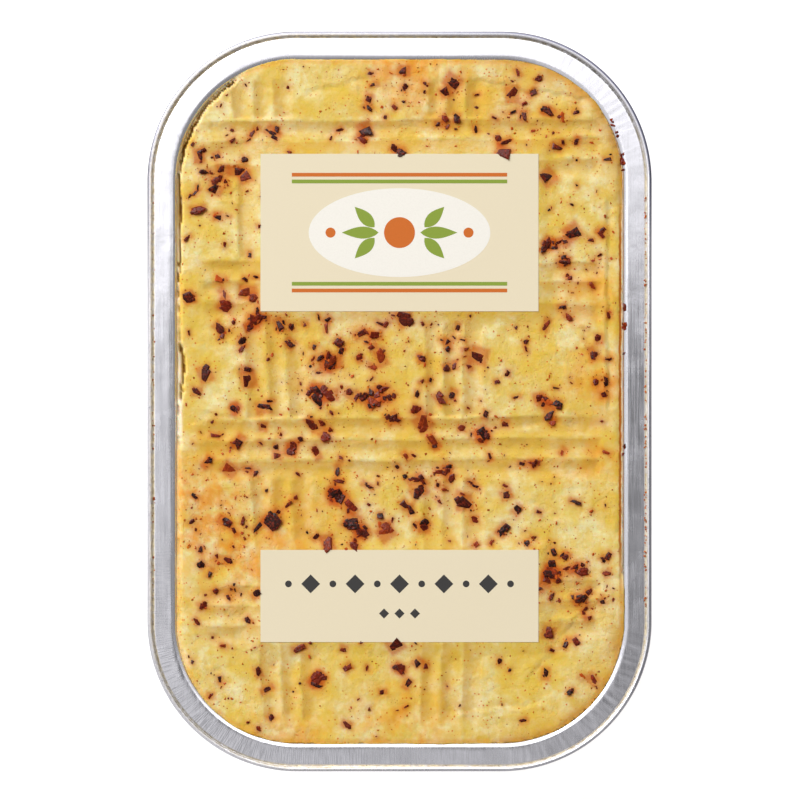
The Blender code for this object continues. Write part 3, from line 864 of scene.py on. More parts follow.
def stains(x, y, mash, flakes):
    """How far colour from the flakes has soaked into the mash close round them, and oil further out."""
    stain, oil = np.zeros(len(x)), np.zeros(len(x))
    for flake in flakes:
        reach = 0.5 * flake.length
        near = (np.abs(x - flake.x) < reach + 3 * MM) & (np.abs(y - flake.y) < reach + 3 * MM)
        past_x, past_y = x[near] - flake.x, y[near] - flake.y
        cosine, sine = math.cos(flake.turn), math.sin(flake.turn)
        along = np.maximum(np.abs(past_x * cosine + past_y * sine) - 0.8 * reach, 0)
        across = np.maximum(np.abs(past_y * cosine - past_x * sine) - 0.4 * flake.width, 0)
        away = np.hypot(along, across)
        strength = (1 if flake.kind != "orange" else 0.5) * min(1, flake.length / (2.2 * MM))
        soaked = mash.stain_share * strength * np.exp(-((away / mash.stain_reach) ** 1.15))
        oiled = mash.oil_share * strength * np.exp(-((away / mash.oil_reach) ** 2))
        stain[near] = 1 - (1 - stain[near]) * (1 - soaked)
        oil[near] = 1 - (1 - oil[near]) * (1 - oiled)
    return stain, oil


def warmth(x, y):
    """How orange the mash is from oil that has spread in broad patches."""
    warm = np.zeros(len(x))
    for centre_x, centre_y, spread, strength in WARM_PATCHES:
        away = np.hypot(x - centre_x * MM, y - centre_y * MM) / (spread * MM)
        warm = np.maximum(warm, strength * np.exp(-(away**2)))
    ragged = 0.6 + 0.8 * cloud(x, y, 8 * MM, 20) + 0.65 * cloud(x, y, 2.6 * MM, 21)
    return warm * np.clip(ragged + 0.35 * cloud(x, y, 1.2 * MM, 22), 0, 1.2)


def mash_finish(mash):
    """Soft buttery mash, mottled and grainy, with oil stains and a darker tint near the wall at the right
    end. Shade is painted into the groove falls, the wrinkle lines and the gap's trench.
    """
    food = Finish("mash")
    tint = mash.cream
    for size, detail, roughness, low, high, share in MOTTLES:
        patches = food.ramp(food.noise(size * MM, detail, roughness), low, high)
        tint = food.mix(food.product(patches, share), tint, mash.butter)
    # Painted shade: the groove falls take the darker, warmer hollow shade colour.
    tint = food.mix(food.product(food.attribute("scraped"), 0.5), tint, mash.hollow_shade)
    tint = food.mix(food.product(food.attribute("warmth"), 0.8), tint, mash.amber)
    tint = food.mix(food.attribute("stain"), tint, mash.rust)
    specks = food.node("ShaderNodeTexVoronoi")
    specks.inputs["Scale"].default_value = 1 / (1.1 * MM)
    food.put(specks.inputs["Vector"], food.place())
    reach = food.ramp(specks.outputs["Color"], 0.45, 0.75, 0.0, 0.34)
    spot = food.ramp(specks.outputs["Distance"], food.product(reach, 0.4), reach, 0.9, 0.0)
    chosen = food.ramp(food.noise(5 * MM, 3.0, 0.7), 0.44, 0.56)
    tint = food.mix(food.product(spot, chosen), tint, mash.speck)
    wobble = food.ramp(food.noise(2.4 * MM, 3.0, 0.6), 0.3, 0.7, -0.12 * MM, 0.12 * MM)
    inward = food.maths("ADD", food.attribute("inward"), wobble)
    tint = food.mix(food.ramp(inward, 0, 1.5 * MM, 0.4, 0), tint, mash.amber)
    # A darker, browner tint near the wall at the right end's corners.
    tint = food.mix(food.attribute("tanned"), tint, mash.wall_tint)
    line = food.ramp(inward, 0.8 * MM, 1.1 * MM, 1, 0)
    line = food.product(food.ramp(inward, 0.15 * MM, 0.4 * MM), line)
    tint = food.mix(food.product(line, food.attribute("right")), tint, mash.oily)
    thin = food.product(food.ramp(inward, 0.1 * MM, 0.3 * MM, 1, 0), food.attribute("right"))
    tint = food.mix(food.maths("MAXIMUM", thin, food.attribute("film")), tint, mash.film)
    # Painted shade: the gap's trench is painted dark brown.
    tint = food.mix(food.attribute("trench"), tint, mash.trench)
    gloss = food.ramp(food.noise(2.0 * MM, 3.0), 0.3, 0.7, 0.5, 0.72)
    wrinkle = food.maths("ABSOLUTE", food.maths("SUBTRACT", food.noise(5.5 * MM, 4.0, 0.62), 0.5), 0.0)
    wrinkle = food.ramp(wrinkle, 0, 0.045, 1, 0)
    wrinkle = food.product(wrinkle, food.ramp(food.noise(9 * MM, 2.0), 0.42, 0.6))
    # Painted shade: the wrinkle lines, which are creases, take the hollow shade colour.
    tint = food.mix(food.product(wrinkle, 0.1), tint, mash.hollow_shade)
    food.set(base_color=tint, roughness=gloss, specular_ior_level=0.22)
    food.set(subsurface_weight=0.45, subsurface_scale=0.9 * MM)
    food.shader.inputs["Subsurface Radius"].default_value = (1.0, 0.5, 0.16)
    food.bump(food.noise(5 * MM, 4.0, 0.6), 0.29 * MM)
    food.bump(food.noise(2.2 * MM, 4.0, 0.62), 0.16 * MM)
    food.bump(food.maths("SUBTRACT", 1.0, wrinkle), 0.05 * MM)
    food.bump(food.noise(0.7 * MM, 3.0, 0.6), 0.07 * MM)
    return food.material


def mash_fields(x, y, shape, mash, flakes):
    """Where shade is painted on the mash, in its groove falls and the gap's trench, and where it is thin,
    darker near the wall, oily or stained, by place.
    """
    _, scraped, trench, film = mash_top(x, y, shape, mash)
    depth, out_x, _ = shape.inside_depth(x, y, shape.wall_top)
    smeared = rises(y, -14, 4) * falls(y, 1.5, 1.5) * (x < 0) * falls(depth, 2, 0.8)
    # Darker tint near the wall at the right end's corners, fading within a few mm of it.
    tanned = rises(x, 10, 30) * rises(np.abs(y), 52, 16)
    tanned = tanned * np.exp(-np.maximum(depth, 0) / (3.0 * MM)) * (0.65 + 0.6 * cloud(x, y, 6 * MM, 23))
    stain, oil = stains(x, y, mash, flakes)
    return {
        "scraped": np.clip(scraped, 0, 1), "trench": trench, "film": np.maximum(film, smeared),
        "inward": depth, "tanned": np.clip(tanned, 0, 0.7),
        "right": smooth((out_x - 0.7) / 0.25) * rises(y, -62, 25) * falls(y, 66, 20),
        "warmth": np.clip(warmth(x, y) + oil, 0, 1), "stain": stain,
    }


def make_mash(tray, mash, flakes):
    """The mash and the filling it hides, in one uncut body that fills the tray."""
    shape = TrayShape(tray)
    obj = loaf(shape, mash)
    block = mash_block(shape, mash)
    cut = obj.modifiers.new("ruled_top", "BOOLEAN")
    cut.operation = "INTERSECT"
    cut.object = block
    cut.solver = "MANIFOLD"
    bake_modifiers(obj)
    bpy.data.objects.remove(block)
    count = len(obj.data.vertices)
    places = np.zeros(count * 3)
    obj.data.vertices.foreach_get("co", places)
    x, y = places.reshape(-1, 3).T[:2]
    for name, values in mash_fields(x, y, shape, mash, strew(flakes, shape)).items():
        add_attribute(obj.data, name, values)
    obj.data.shade_smooth()
    finish_piece(obj, "mash", mash_finish(mash), "pie")


def under_card(x, y):
    return any(low.x < x < high.x and low.y < y < high.y for low, high in CARD_BOXES.values())


def strew(flakes, shape):
    """Where the flakes and small flakes lie, the heaps first. A spot under a card or too near
    the wall is drawn again."""
    draw = random.Random(flakes.seed)
    heaped = [(x, y, spread) for x, y, spread, number in HEAPS for _ in range(number)]
    spots = []
    while len(spots) < flakes.large + flakes.small:
        number = len(spots)
        if number < len(heaped):
            centre_x, centre_y, spread = heaped[number]
        elif draw.random() < 0.42:
            centre_x, centre_y, spread = draw.choice(DRIFTS)
        else:
            centre_x, centre_y, spread = 0, 0, 0
        if spread:
            spread *= 0.8 if number < len(heaped) else 1
            x, y = draw.gauss(centre_x, spread) * MM, draw.gauss(centre_y, spread) * MM
        else:
            x, y = draw.uniform(-HALF_WIDTH, HALF_WIDTH), draw.uniform(-HALF_LENGTH, HALF_LENGTH)
        if number < flakes.large:
            length = min(flakes.typical * math.exp(draw.gauss(0, 0.4)), 6 * MM)
            kind = draw.choices(("dark", "red", "orange"), (72, 25, 3))[0]
        else:
            length = draw.uniform(0.55, 1.5) * MM
            kind = draw.choices(("dark", "red", "orange"), (16, 36, 48))[0]
        width = length * draw.choice((0.4, 0.56, 0.72, 0.9)) * draw.uniform(0.85, 1.15)
        turn, tone = draw.uniform(0, math.tau), draw.random()
        depth = float(shape.inside_depth(np.array(x), np.array(y), shape.wall_top)[0])
        if depth > 0.6 * MM + length / 2 and not under_card(x, y):
            spots.append(Flake(x, y, length, width, turn, kind, tone))
    return spots


def chip_shape(number, corners, slabs, collection):
    """One broken chip, about 2 across and 2 thick: slabs with uneven faces, stuck to each other."""
    draw = random.Random(100 + number)
    builder = bmesh.new()
    for slab in range(slabs):
        size = 0.95 if slab == 0 else draw.uniform(0.35, 0.6)
        middle = (draw.uniform(-0.55, 0.55), draw.uniform(-0.55, 0.55)) if slab else (0, 0)
        verts = []
        for corner in range(corners):
            angle = math.tau * (corner + 0.5 + draw.uniform(-0.35, 0.35)) / corners
            reach = draw.uniform(0.7, 1.1) * size
            top = draw.uniform(0.4, 1.0) + 0.25 * slab
            levels = ((-1.0, 0.85), (0.1, 1.0), (top, draw.uniform(0.5, 0.85)))
            for level, share in levels[slab > 0:]:
                x = middle[0] + reach * share * math.cos(angle)
                y = middle[1] + reach * share * math.sin(angle)
                verts.append(builder.verts.new((x, y, level)))
        hull = bmesh.ops.convex_hull(builder, input=verts)
        loose = {item for item in hull["geom_interior"] + hull["geom_unused"] if is_vert(item)}
        bmesh.ops.delete(builder, geom=list(loose), context="VERTS")
    bmesh.ops.recalc_face_normals(builder, faces=builder.faces)
    mesh = bpy.data.meshes.new(f"chip_{number}")
    builder.to_mesh(mesh)
    builder.free()
    collection.objects.link(bpy.data.objects.new(mesh.name, mesh))


def strewing_tree():
    """A node tree that puts a picked chip on each point and makes real mesh of them. The points
    carry which chip, its turn and its size."""
    tree = bpy.data.node_groups.new("strewn_chips", "GeometryNodeTree")
    tree.interface.new_socket("Geometry", in_out="INPUT", socket_type="NodeSocketGeometry")
    tree.interface.new_socket("Chips", in_out="INPUT", socket_type="NodeSocketCollection")
    thickness = tree.interface.new_socket("Thickness", in_out="INPUT", socket_type="NodeSocketFloat")
    thickness.default_value = 1.0
    tree.interface.new_socket("Finish", in_out="INPUT", socket_type="NodeSocketMaterial")
    tree.interface.new_socket("Geometry", in_out="OUTPUT", socket_type="NodeSocketGeometry")
    kinds = {
        "start": "NodeGroupInput", "end": "NodeGroupOutput", "chips": "GeometryNodeCollectionInfo",
        "put": "GeometryNodeInstanceOnPoints", "real": "GeometryNodeRealizeInstances",
        "finish": "GeometryNodeSetMaterial", "flat": "ShaderNodeCombineXYZ",
        "scale": "ShaderNodeVectorMath",
    }
    nodes = {name: tree.nodes.new(kind) for name, kind in kinds.items()}
    nodes["chips"].inputs["Separate Children"].default_value = True
    nodes["chips"].inputs["Reset Children"].default_value = True
    nodes["put"].inputs["Pick Instance"].default_value = True
    nodes["scale"].operation = "MULTIPLY"
    nodes["flat"].inputs["X"].default_value = nodes["flat"].inputs["Y"].default_value = 1
    reads = {}
    for name, kind in (("chip", "INT"), ("turn", "FLOAT_VECTOR"), ("size", "FLOAT_VECTOR")):
        reads[name] = tree.nodes.new("GeometryNodeInputNamedAttribute")
        reads[name].data_type = kind
        reads[name].inputs["Name"].default_value = name
    links = (
        (nodes["start"].outputs["Geometry"], nodes["put"].inputs["Points"]),
        (nodes["start"].outputs["Chips"], nodes["chips"].inputs["Collection"]),
        (nodes["chips"].outputs[0], nodes["put"].inputs["Instance"]),
        (reads["chip"].outputs["Attribute"], nodes["put"].inputs["Instance Index"]),
        (reads["turn"].outputs["Attribute"], nodes["put"].inputs["Rotation"]),
        (nodes["start"].outputs["Thickness"], nodes["flat"].inputs["Z"]),
        (reads["size"].outputs["Attribute"], nodes["scale"].inputs[0]),
        (nodes["flat"].outputs["Vector"], nodes["scale"].inputs[1]),
        (nodes["scale"].outputs["Vector"], nodes["put"].inputs["Scale"]),
        (nodes["put"].outputs["Instances"], nodes["real"].inputs["Geometry"]),
        (nodes["real"].outputs["Geometry"], nodes["finish"].inputs["Geometry"]),
        (nodes["start"].outputs["Finish"], nodes["finish"].inputs["Material"]),
        (nodes["finish"].outputs["Geometry"], nodes["end"].inputs["Geometry"]),
    )
    for source, target in links:
        tree.links.new(source, target)
    return tree


def scatter(name, spots, tree, chips, thickness, material):
    """One piece of many chips. Each spot is (place, turn, size, chip, tone)."""
    obj = blank_object(name)
    obj.data.from_pydata([tuple(spot[0]) for spot in spots], [], [])
    add_attribute(obj.data, "turn", [tuple(spot[1]) for spot in spots], "FLOAT_VECTOR")
    add_attribute(obj.data, "size", [tuple(spot[2]) for spot in spots], "FLOAT_VECTOR")
    add_attribute(obj.data, "chip", np.array([spot[3] for spot in spots], dtype=np.int32), "INT")
    add_attribute(obj.data, "tone", [spot[4] for spot in spots])
    maker = obj.modifiers.new("strewn", "NODES")
    maker.node_group = tree
    values = {"Chips": chips, "Thickness": thickness, "Finish": material}
    for socket in tree.interface.items_tree:
        if socket.in_out == "INPUT" and socket.name in values:
            maker[socket.identifier] = values[socket.name]
    bake_modifiers(obj)
    for vert in obj.data.vertices:
        vert.co.z = min(vert.co.z, TRAY_HIGH.z)
    finish_piece(obj, "mash", material)


def flake_finish(name, dark, light):
    """Dried chilli: broken skin from dark to light, with a dull shine."""
    skin = Finish(name)
    grain = skin.ramp(skin.noise(0.7 * MM, 3.0, 0.65), 0.47, 0.66, 0.0, 0.5)
    tone = skin.maths("POWER", skin.attribute("tone"), 1.9)
    share = skin.maths("ADD", skin.product(tone, 0.55), grain)
    skin.set(base_color=skin.mix(share, dark, light), roughness=skin.ramp(grain, 0, 0.5, 0.2, 0.45))
    skin.set(specular_ior_level=0.17)
    skin.bump(skin.noise(0.5 * MM, 3.0, 0.6), 0.14 * MM)
    return skin.material


def surface_spot(tree, x, y, turn, lean, draw):
    """The place on a surface straight below a point, and a turn that lies on it, leaning a bit."""
    place, normal, _, _ = tree.ray_cast(Vector((x, y, 1.0)), Vector((0, 0, -1)))
    up = (normal + Vector((draw.gauss(0, lean), draw.gauss(0, lean), 0))).normalized()
    along = Vector((math.cos(turn), math.sin(turn), 0))
    along = (along - up * along.dot(up)).normalized()
    return place, Matrix((along, up.cross(along), up)).transposed().to_euler()


def dust_places(flakes, spots, draw):
    """Dust lies thick round the flakes and thin elsewhere."""
    places = []
    while len(places) < flakes.dust:
        if draw.random() < 0.88:
            near = draw.choice(spots)
            away = 1.0 * MM + abs(draw.gauss(0, 2.8 * MM))
            angle = draw.uniform(0, math.tau)
            places.append((near.x + away * math.cos(angle), near.y + away * math.sin(angle)))
        else:
            places.append((draw.uniform(-HALF_WIDTH, HALF_WIDTH), draw.uniform(-HALF_LENGTH, HALF_LENGTH)))
    return places


def make_flakes(tray, flakes):
    """The chilli flakes, their dust, and the crumbs on the rim, one piece for each kind."""
    shape = TrayShape(tray)
    graph = bpy.context.evaluated_depsgraph_get()
    mash = BVHTree.FromObject(bpy.data.objects["mash"], graph)
    foil = BVHTree.FromObject(bpy.data.objects["tray"], graph)
    chips = bpy.data.collections.new("chips")
    grains = bpy.data.collections.new("grains")
    for number, corners in enumerate(CHIP_CORNERS):
        chip_shape(number, corners, 2 + number % 3, chips)
    for number in range(GRAINS):
        chip_shape(len(CHIP_CORNERS) + number, 4 - number % 2, 1, grains)
    draw = random.Random(flakes.seed + 1)
    spots = strew(flakes, shape)
    kinds = {"dark": [], "red": [], "orange": []}
    for flake in spots:
        place, turn = surface_spot(mash, flake.x, flake.y, flake.turn, 0.16, draw)
        thick = min(draw.uniform(0.4, 0.75) * MM, 0.5 * flake.width)
        size = (flake.length / 2, flake.width / 2, thick / 2)
        place = place + Vector((0, 0, draw.uniform(-0.25, 0.3) * thick))
        kinds[flake.kind].append((place, turn, size, draw.randrange(len(CHIP_CORNERS)), flake.tone))
    for x, y, length in wall_flakes(tray.corner_radius, draw):
        place, turn = surface_spot(foil, x, y, draw.uniform(0, math.tau), 0.25, draw)
        kind, size = draw.choice(("dark", "red")), (length / 2, length / 3, 0.3 * MM)
        kinds[kind].append((place, turn, size, draw.randrange(len(CHIP_CORNERS)), draw.random()))
    dust = []
    for x, y in dust_places(flakes, spots, draw):
        inside = float(shape.inside_depth(np.array(x), np.array(y), shape.wall_top)[0])
        if inside > 0.8 * MM and not under_card(x, y):
            place, turn = surface_spot(mash, x, y, draw.uniform(0, math.tau), 0.2, draw)
            size = min(0.18 * math.exp(draw.gauss(0, 0.6)), 0.6) * MM
            size = (size, size * draw.uniform(0.6, 1), 0.3 * size)
            dust.append((place, turn, size, draw.randrange(GRAINS), draw.random()))
    for x, y in rim_crumbs(flakes.crumbs, draw):
        place, turn = surface_spot(foil, x, y, draw.uniform(0, math.tau), 0.3, draw)
        size = draw.uniform(0.22, 0.55) * MM
        size = (size, size * 0.8, 0.8 * size)
        dust.append((place, turn, size, draw.randrange(GRAINS), 0.5 * draw.random()))
    tree = strewing_tree()
    for kind, thickness in (("dark", 1.0), ("red", 0.8), ("orange", 0.7)):
        skin, flesh = getattr(flakes, kind), getattr(flakes, f"{kind}_flesh")
        finish = flake_finish(f"chilli_{kind}", skin, flesh)
        scatter(f"flakes_{kind}", kinds[kind], tree, chips, thickness, finish)
    finish = flake_finish("chilli_dust", flakes.dust_dark, flakes.dust_light)
    scatter("dust", dust, tree, grains, 1.0, finish)


def wall_flakes(radius, draw):
    """Flakes stuck to the foil at the right, as (x, y, length). radius is the tray's at a corner."""
    places = []
    for low, high, number in WALL_FLAKES:
        for _ in range(number):
            y = draw.uniform(low, high) * MM
            bulge = max(0.0, y - (HALF_LENGTH - radius))
            edge = HALF_WIDTH - radius + math.sqrt(radius**2 - bulge**2)
            places.append((edge - draw.uniform(7.8, 8.6) * MM, y, draw.uniform(1.2, 3.0) * MM))
    return places


def rim_crumbs(count, draw):
    """Crumbs caught in the crease inside the bead, along both sides."""
    places = []
    for _ in range(count):
        side = draw.choice((-1, 1, 1))
        x = side * (HALF_WIDTH - draw.uniform(1.5, 2.2) * MM)
        places.append((x, draw.uniform(-62, 62) * MM))
    return places


def card_lift(x, y, low, high, curl):
    """How far a card rises at a place: its corners curl up a little, and it waves slightly."""
    share_x = (x - (low.x + high.x) / 2) / ((high.x - low.x) / 2)
    share_y = (y - (low.y + high.y) / 2) / ((high.y - low.y) / 2)
    return curl * (share_x**2 * share_y**2) + 0.02 * MM * np.sin(x / (11 * MM)) * np.sin(y / (9 * MM) + 1)


def card_finish(cards):
    """Matte cream card with a faint fibre."""
    paper = Finish("card")
    fibre = paper.noise(0.6 * MM, 4.0, 0.7)
    tint = paper.mix(paper.ramp(fibre, 0.3, 0.7, 0, 0.3), cards.paper, cards.paper * 0.96)
    paper.set(base_color=tint, roughness=0.62, specular_ior_level=0.3)
    paper.bump(fibre, 0.01 * MM)
    return paper.material


def make_card(name, cards, material):
    """A thin card that lies on the mash."""
    low, high = CARD_BOXES[name]
    builder = bmesh.new()
    bmesh.ops.create_grid(builder, x_segments=60, y_segments=34, size=0.5)
    for vert in builder.verts:
        x = low.x + (vert.co.x + 0.5) * (high.x - low.x)
        y = low.y + (vert.co.y + 0.5) * (high.y - low.y)
        vert.co = (x, y, CARD_TOP + card_lift(x, y, low, high, cards.curl))
    raised = bmesh.ops.extrude_face_region(builder, geom=builder.faces[:])["geom"]
    for vert in filter(is_vert, raised):
        vert.co.z -= CARD_THICKNESS
    bmesh.ops.recalc_face_normals(builder, faces=builder.faces)
    obj = object_from_builder(f"{name}_card", builder)
    finish_piece(obj, "paper", material, name)


INKS = ("white", "orange", "green", "black")


class Print:
    """Flat printed shapes of one ink on a card, gathered as strips of faces."""

    def __init__(self, card, curl, layer):
        self.low, self.high = CARD_BOXES[card]
        self.curl, self.layer, self.builder = curl, layer, bmesh.new()

    def strip(self, pairs):
        """A ribbon of faces between pairs of points, in mm from the card's middle."""
        middle = (self.low + self.high) / 2
        last = None
        for pair in pairs:
            verts = []
            for px, py in pair:
                x, y = middle.x + px * MM, middle.y + py * MM
                z = CARD_TOP + card_lift(x, y, self.low, self.high, self.curl) + self.layer
                verts.append(self.builder.verts.new((x, y, z)))
            if last:
                self.builder.faces.new((last[0], verts[0], verts[1], last[1]))
            last = verts

    def bar(self, x, y, width, height):
        """A rectangle by its middle and size."""
        steps = max(2, round(width / 2))
        places = [x - width / 2 + width * step / steps for step in range(steps + 1)]
        rows = max(1, round(height / 3))
        for row in range(rows):
            lower = y - height / 2 + height * row / rows
            self.strip([((p, lower), (p, lower + height / rows)) for p in places])

    def ring(self, x, y, outer, inner, steps=48):
        """An oval ring, or a whole oval where inner is 0 0, by its two half sizes."""
        layers = 1 if inner[0] else max(1, round(outer[1] / 2.5))
        for layer in range(layers):
            near, far = layer / layers, (layer + 1) / layers
            pairs = []
            for step in range(steps + 1):
                c, s = math.cos(math.tau * step / steps), math.sin(math.tau * step / steps)
                ends = [inner[k] + (outer[k] - inner[k]) * share for share in (near, far) for k in (0, 1)]
                near_point = (x + ends[0] * c, y + ends[1] * s)
                pairs.append((near_point, (x + ends[2] * c, y + ends[3] * s)))
            self.strip(pairs)

    def leaf(self, x, y, length, width, angle):
        """A pointed leaf from its stalk end."""
        turn = (math.cos(angle), math.sin(angle))
        pairs = []
        for step in range(13):
            along = length * step / 12
            half = width / 2 * math.sin(math.pi * (step / 12) ** 0.8)
            pair = []
            for side in (half, -half):
                pair.append((x + along * turn[0] - side * turn[1], y + along * turn[1] + side * turn[0]))
            pairs.append(pair)
        self.strip(pairs)

    def lozenge(self, x, y, width, height):
        left, right = (x - width / 2, y), (x + width / 2, y)
        self.strip([(left, left), ((x, y - height / 2), (x, y + height / 2)), (right, right)])

    def piece(self, name, material):
        bmesh.ops.remove_doubles(self.builder, verts=self.builder.verts, dist=0.002 * MM)
        bmesh.ops.recalc_face_normals(self.builder, faces=self.builder.faces)
        for face in self.builder.faces:
            if face.normal.z < 0:
                face.normal_flip()
        obj = object_from_builder(name, self.builder)
        finish_piece(obj, "paper", material)


def ink_finish(name, colour):
    """Printed ink, a little uneven and slightly glossier than the card."""
    ink = Finish(name)
    patchy = ink.ramp(ink.noise(0.5 * MM, 3.0, 0.6), 0.35, 0.75, 0, 0.25)
    ink.set(base_color=ink.mix(patchy, colour, colour * 0.86), roughness=0.5)
    return ink.material


def make_cards(cards):
    """Both cards and a plain ornament on each: leaves and discs above, lozenges below."""
    paper = card_finish(cards)
    for name in CARD_BOXES:
        make_card(name, cards, paper)
    inks = {name: ink_finish(f"ink_{name}", getattr(cards, name)) for name in INKS}
    lift = 0.015 * MM
    white = Print("label_upper", cards.curl, lift)
    white.ring(0, 0, (27, 13.2), (0, 0), 64)
    white.piece("print_white", inks["white"])
    orange = Print("label_upper", cards.curl, 2 * lift)
    orange.ring(0, 0, (4.6, 4.6), (0, 0))
    for side in (-1, 1):
        orange.ring(side * 20.5, 0, (1.5, 1.5), (0, 0), 24)
        orange.bar(0, side * 17.2, 64, 1.1)
    orange.piece("print_orange", inks["orange"])
    green = Print("label_upper", cards.curl, 2 * lift)
    for side in (0, math.pi):
        for spread, length in ((0, 11), (0.8, 8.5), (-0.8, 8.5)):
            away = (7.4 if spread else 6.2) * math.cos(side)
            green.leaf(away, 2.2 * math.sin(spread) * math.cos(side), length, 3.6, side + spread)
    for side in (-1, 1):
        green.bar(0, side * 15.2, 64, 1.1)
    green.piece("print_green", inks["green"])
    dark = Print("label_lower", cards.curl, lift)
    for number in range(-5, 6):
        if number % 2:
            dark.ring(number * 6.6, 3.6, (1.0, 1.0), (0, 0), 20)
        else:
            dark.lozenge(number * 6.6, 3.6, 5.6, 5.6)
    for number in (-1, 0, 1):
        dark.lozenge(number * 4.6, -5.2, 3.0, 3.0)
    dark.piece("print_dark", inks["black"])


def light_world(stage):
    """Soft surroundings. The food is lit from the left. Shiny things mirror a bright room, which
    is dim at the right and right above, where the camera is."""
    world = bpy.data.worlds.new("studio")
    bpy.context.scene.world = world
    world.use_nodes = True
    tree = world.node_tree
    where = tree.nodes.new("ShaderNodeTexCoord").outputs["Generated"]

    def gradient(direction, low, high, start, end):
        facing = tree.nodes.new("ShaderNodeVectorMath")
        facing.operation = "DOT_PRODUCT"
        facing.inputs[1].default_value = direction
        ramp = tree.nodes.new("ShaderNodeMapRange")
        for name, value in {"From Min": low, "From Max": high, "To Min": start, "To Max": end}.items():
            ramp.inputs[name].default_value = value
        tree.links.new(where, facing.inputs[0])
        tree.links.new(facing.outputs["Value"], ramp.inputs["Value"])
        return ramp.outputs["Result"]

    def combine(operation, *values):
        node = tree.nodes.new("ShaderNodeMath")
        node.operation = operation
        for value, socket in zip(values, node.inputs):
            tree.links.new(value, socket)
        return node.outputs["Value"]

    right = gradient((0.88, -0.47, 0), 0, 0.4, 1, stage.mirrored_right)
    above = gradient((0.122, 0.112, 0.986), 0.95, 1.0, 1, stage.mirrored_above)
    far = gradient((0, 1, 0), 0.07, 0.37, 1, stage.mirrored_far)
    low = gradient((0, 0, 1), 0, 0.4, stage.mirrored_low, 1)
    sideways, upwards = combine("MULTIPLY", right, above), combine("MULTIPLY", far, low)
    mirrored = combine("MULTIPLY", sideways, upwards)
    lit = gradient((-0.8, 0.6, 0), -0.4, 0.5, stage.fill, stage.glow)
    rays = tree.nodes.new("ShaderNodeLightPath").outputs["Is Glossy Ray"]
    strength, colour = tree.nodes.new("ShaderNodeMix"), tree.nodes.new("ShaderNodeMix")
    colour.data_type = "RGBA"
    tree.links.new(rays, strength.inputs[0])
    tree.links.new(lit, strength.inputs[2])
    tree.links.new(mirrored, strength.inputs[3])
    tree.links.new(rays, colour.inputs[0])
    colour.inputs[6].default_value = (*stage.warm, 1)
    colour.inputs[7].default_value = (1, 1, 1, 1)
    tree.links.new(strength.outputs[0], tree.nodes["Background"].inputs["Strength"])
    tree.links.new(colour.outputs[2], tree.nodes["Background"].inputs["Color"])


def add_softbox(name, place, target, size, power):
    """A square soft light that faces a point."""
    lamp = bpy.data.lights.new(name, "AREA")
    lamp.size, lamp.energy = size, power
    obj = bpy.data.objects.new(name, lamp)
    obj.location = place
    obj.rotation_euler = (Vector(target) - Vector(place)).to_track_quat("-Z", "Y").to_euler()
    obj.visible_camera = False
    bpy.context.scene.collection.objects.link(obj)
    return obj


def make_floor(stage):
    """A white floor, mostly bright of itself, so that it takes only a faint shadow."""
    builder = bmesh.new()
    bmesh.ops.create_grid(builder, x_segments=1, y_segments=1, size=3)
    floor = object_from_builder("floor", builder)
    white = Finish("floor")
    white.set(base_color=(0.5, 0.5, 0.5), roughness=0.9, emission_color=(1.0, 1.0, 1.0))
    white.set(emission_strength=stage.floor)
    floor.data.materials.append(white.material)


def add_camera(stage, flange_height):
    """A camera straight above, framed so that the tray is as long as in the picture."""
    camera = bpy.data.cameras.new("camera")
    seen = 2 * HALF_LENGTH * PICTURE_PIXELS / TRAY_PIXELS
    camera.sensor_width = SENSOR_WIDTH
    camera.lens = camera.sensor_width * (stage.camera_height - flange_height) / seen
    obj = bpy.data.objects.new("camera", camera)
    obj.location = (*PICTURE_CENTRE, stage.camera_height)
    bpy.context.scene.collection.objects.link(obj)
    bpy.context.scene.camera = obj


def make_stage(tray, stage):
    """Floor, soft light and camera."""
    bpy.context.scene.view_settings.view_transform = "Standard"
    make_floor(stage)
    light_world(stage)
    key = add_softbox("key", KEY_PLACE, (0, 0, 0), KEY_SIZE, stage.key)
    key.data.color = stage.cool
    panel = add_softbox("panel", PANEL_PLACE, (*PANEL_PLACE[:2], 0), PANEL_SIZE, stage.panel)
    mirrored = bpy.data.collections.new("mirrors_panel")
    mirrored.objects.link(bpy.data.objects["tray"])
    panel.light_linking.receiver_collection = mirrored
    add_camera(stage, TrayShape(tray).bead_level)


class PieMakeTray(bpy.types.Operator):
    """Build the foil tray"""

    bl_idname = "pie.make_tray"
    bl_label = "Foil tray"

    def execute(self, context):
        make_tray(context.scene.pie_tray)
        return {"FINISHED"}


class PieMakeMash(bpy.types.Operator):
    """Build the ruled mash"""

    bl_idname = "pie.make_mash"
    bl_label = "Mash"

    def execute(self, context):
        scene = context.scene
        make_mash(scene.pie_tray, scene.pie_mash, scene.pie_flakes)
        return {"FINISHED"}


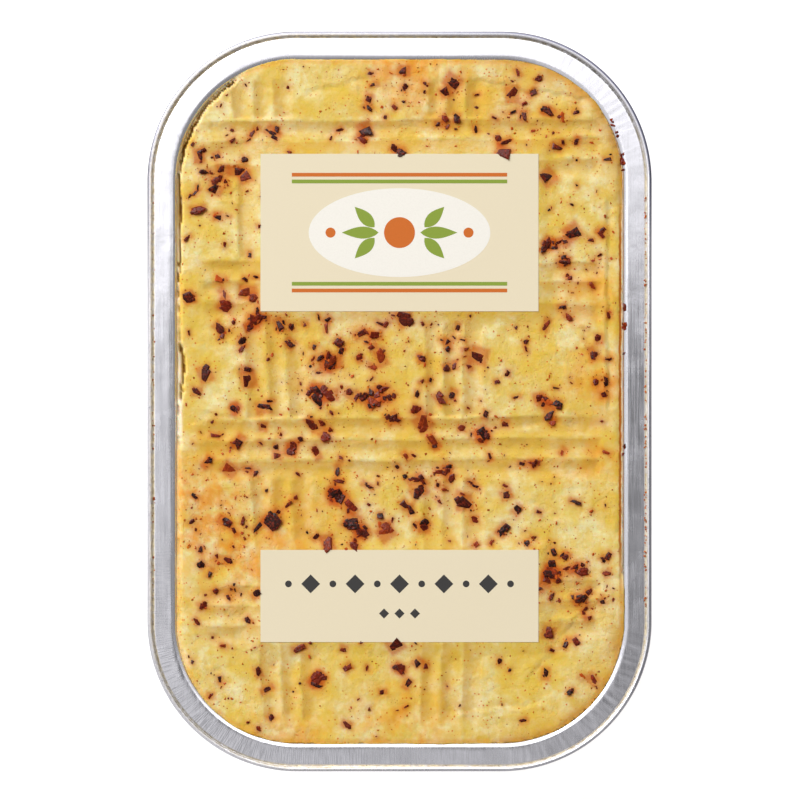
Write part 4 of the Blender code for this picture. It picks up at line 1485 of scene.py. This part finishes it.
class PieMakeFlakes(bpy.types.Operator):
    """Strew the chilli flakes and their dust over the mash and the rim"""

    bl_idname = "pie.make_flakes"
    bl_label = "Chilli flakes"

    def execute(self, context):
        make_flakes(context.scene.pie_tray, context.scene.pie_flakes)
        return {"FINISHED"}


class PieMakeCards(bpy.types.Operator):
    """Lay the two printed cards on the mash"""

    bl_idname = "pie.make_cards"
    bl_label = "Cards"

    def execute(self, context):
        make_cards(context.scene.pie_cards)
        return {"FINISHED"}


class PieMakeStage(bpy.types.Operator):
    """Set up the floor, the lights and the camera"""

    bl_idname = "pie.make_stage"
    bl_label = "Stage"

    def execute(self, context):
        make_stage(context.scene.pie_tray, context.scene.pie_stage)
        return {"FINISHED"}


MAKERS = (PieMakeTray, PieMakeMash, PieMakeFlakes, PieMakeCards, PieMakeStage)
SETTINGS = {
    "pie_tray": PieTraySettings,
    "pie_mash": PieMashSettings,
    "pie_flakes": PieFlakeSettings,
    "pie_cards": PieCardSettings,
    "pie_stage": PieStageSettings,
}


class PiePanel(bpy.types.Panel):
    """The pie's settings and the buttons that build it"""

    bl_idname = "VIEW3D_PT_pie"
    bl_label = "Cottage pie"
    bl_space_type = "VIEW_3D"
    bl_region_type = "UI"
    bl_category = "Pie"

    def draw(self, context):
        for maker, (name, settings) in zip(MAKERS, SETTINGS.items()):
            box = self.layout.box()
            box.operator(maker.bl_idname)
            for field in settings.__annotations__:
                box.prop(getattr(context.scene, name), field)


def register():
    for kind in (*SETTINGS.values(), *MAKERS, PiePanel):
        bpy.utils.register_class(kind)
    for name, kind in SETTINGS.items():
        setattr(bpy.types.Scene, name, PointerProperty(type=kind))


def unregister():
    for name in SETTINGS:
        delattr(bpy.types.Scene, name)
    for kind in reversed((*SETTINGS.values(), *MAKERS, PiePanel)):
        bpy.utils.unregister_class(kind)


def main():
    register()
    bpy.ops.pie.make_tray()
    bpy.ops.pie.make_mash()
    bpy.ops.pie.make_flakes()
    bpy.ops.pie.make_cards()
    bpy.ops.pie.make_stage()


if __name__ == "__main__":
    main()
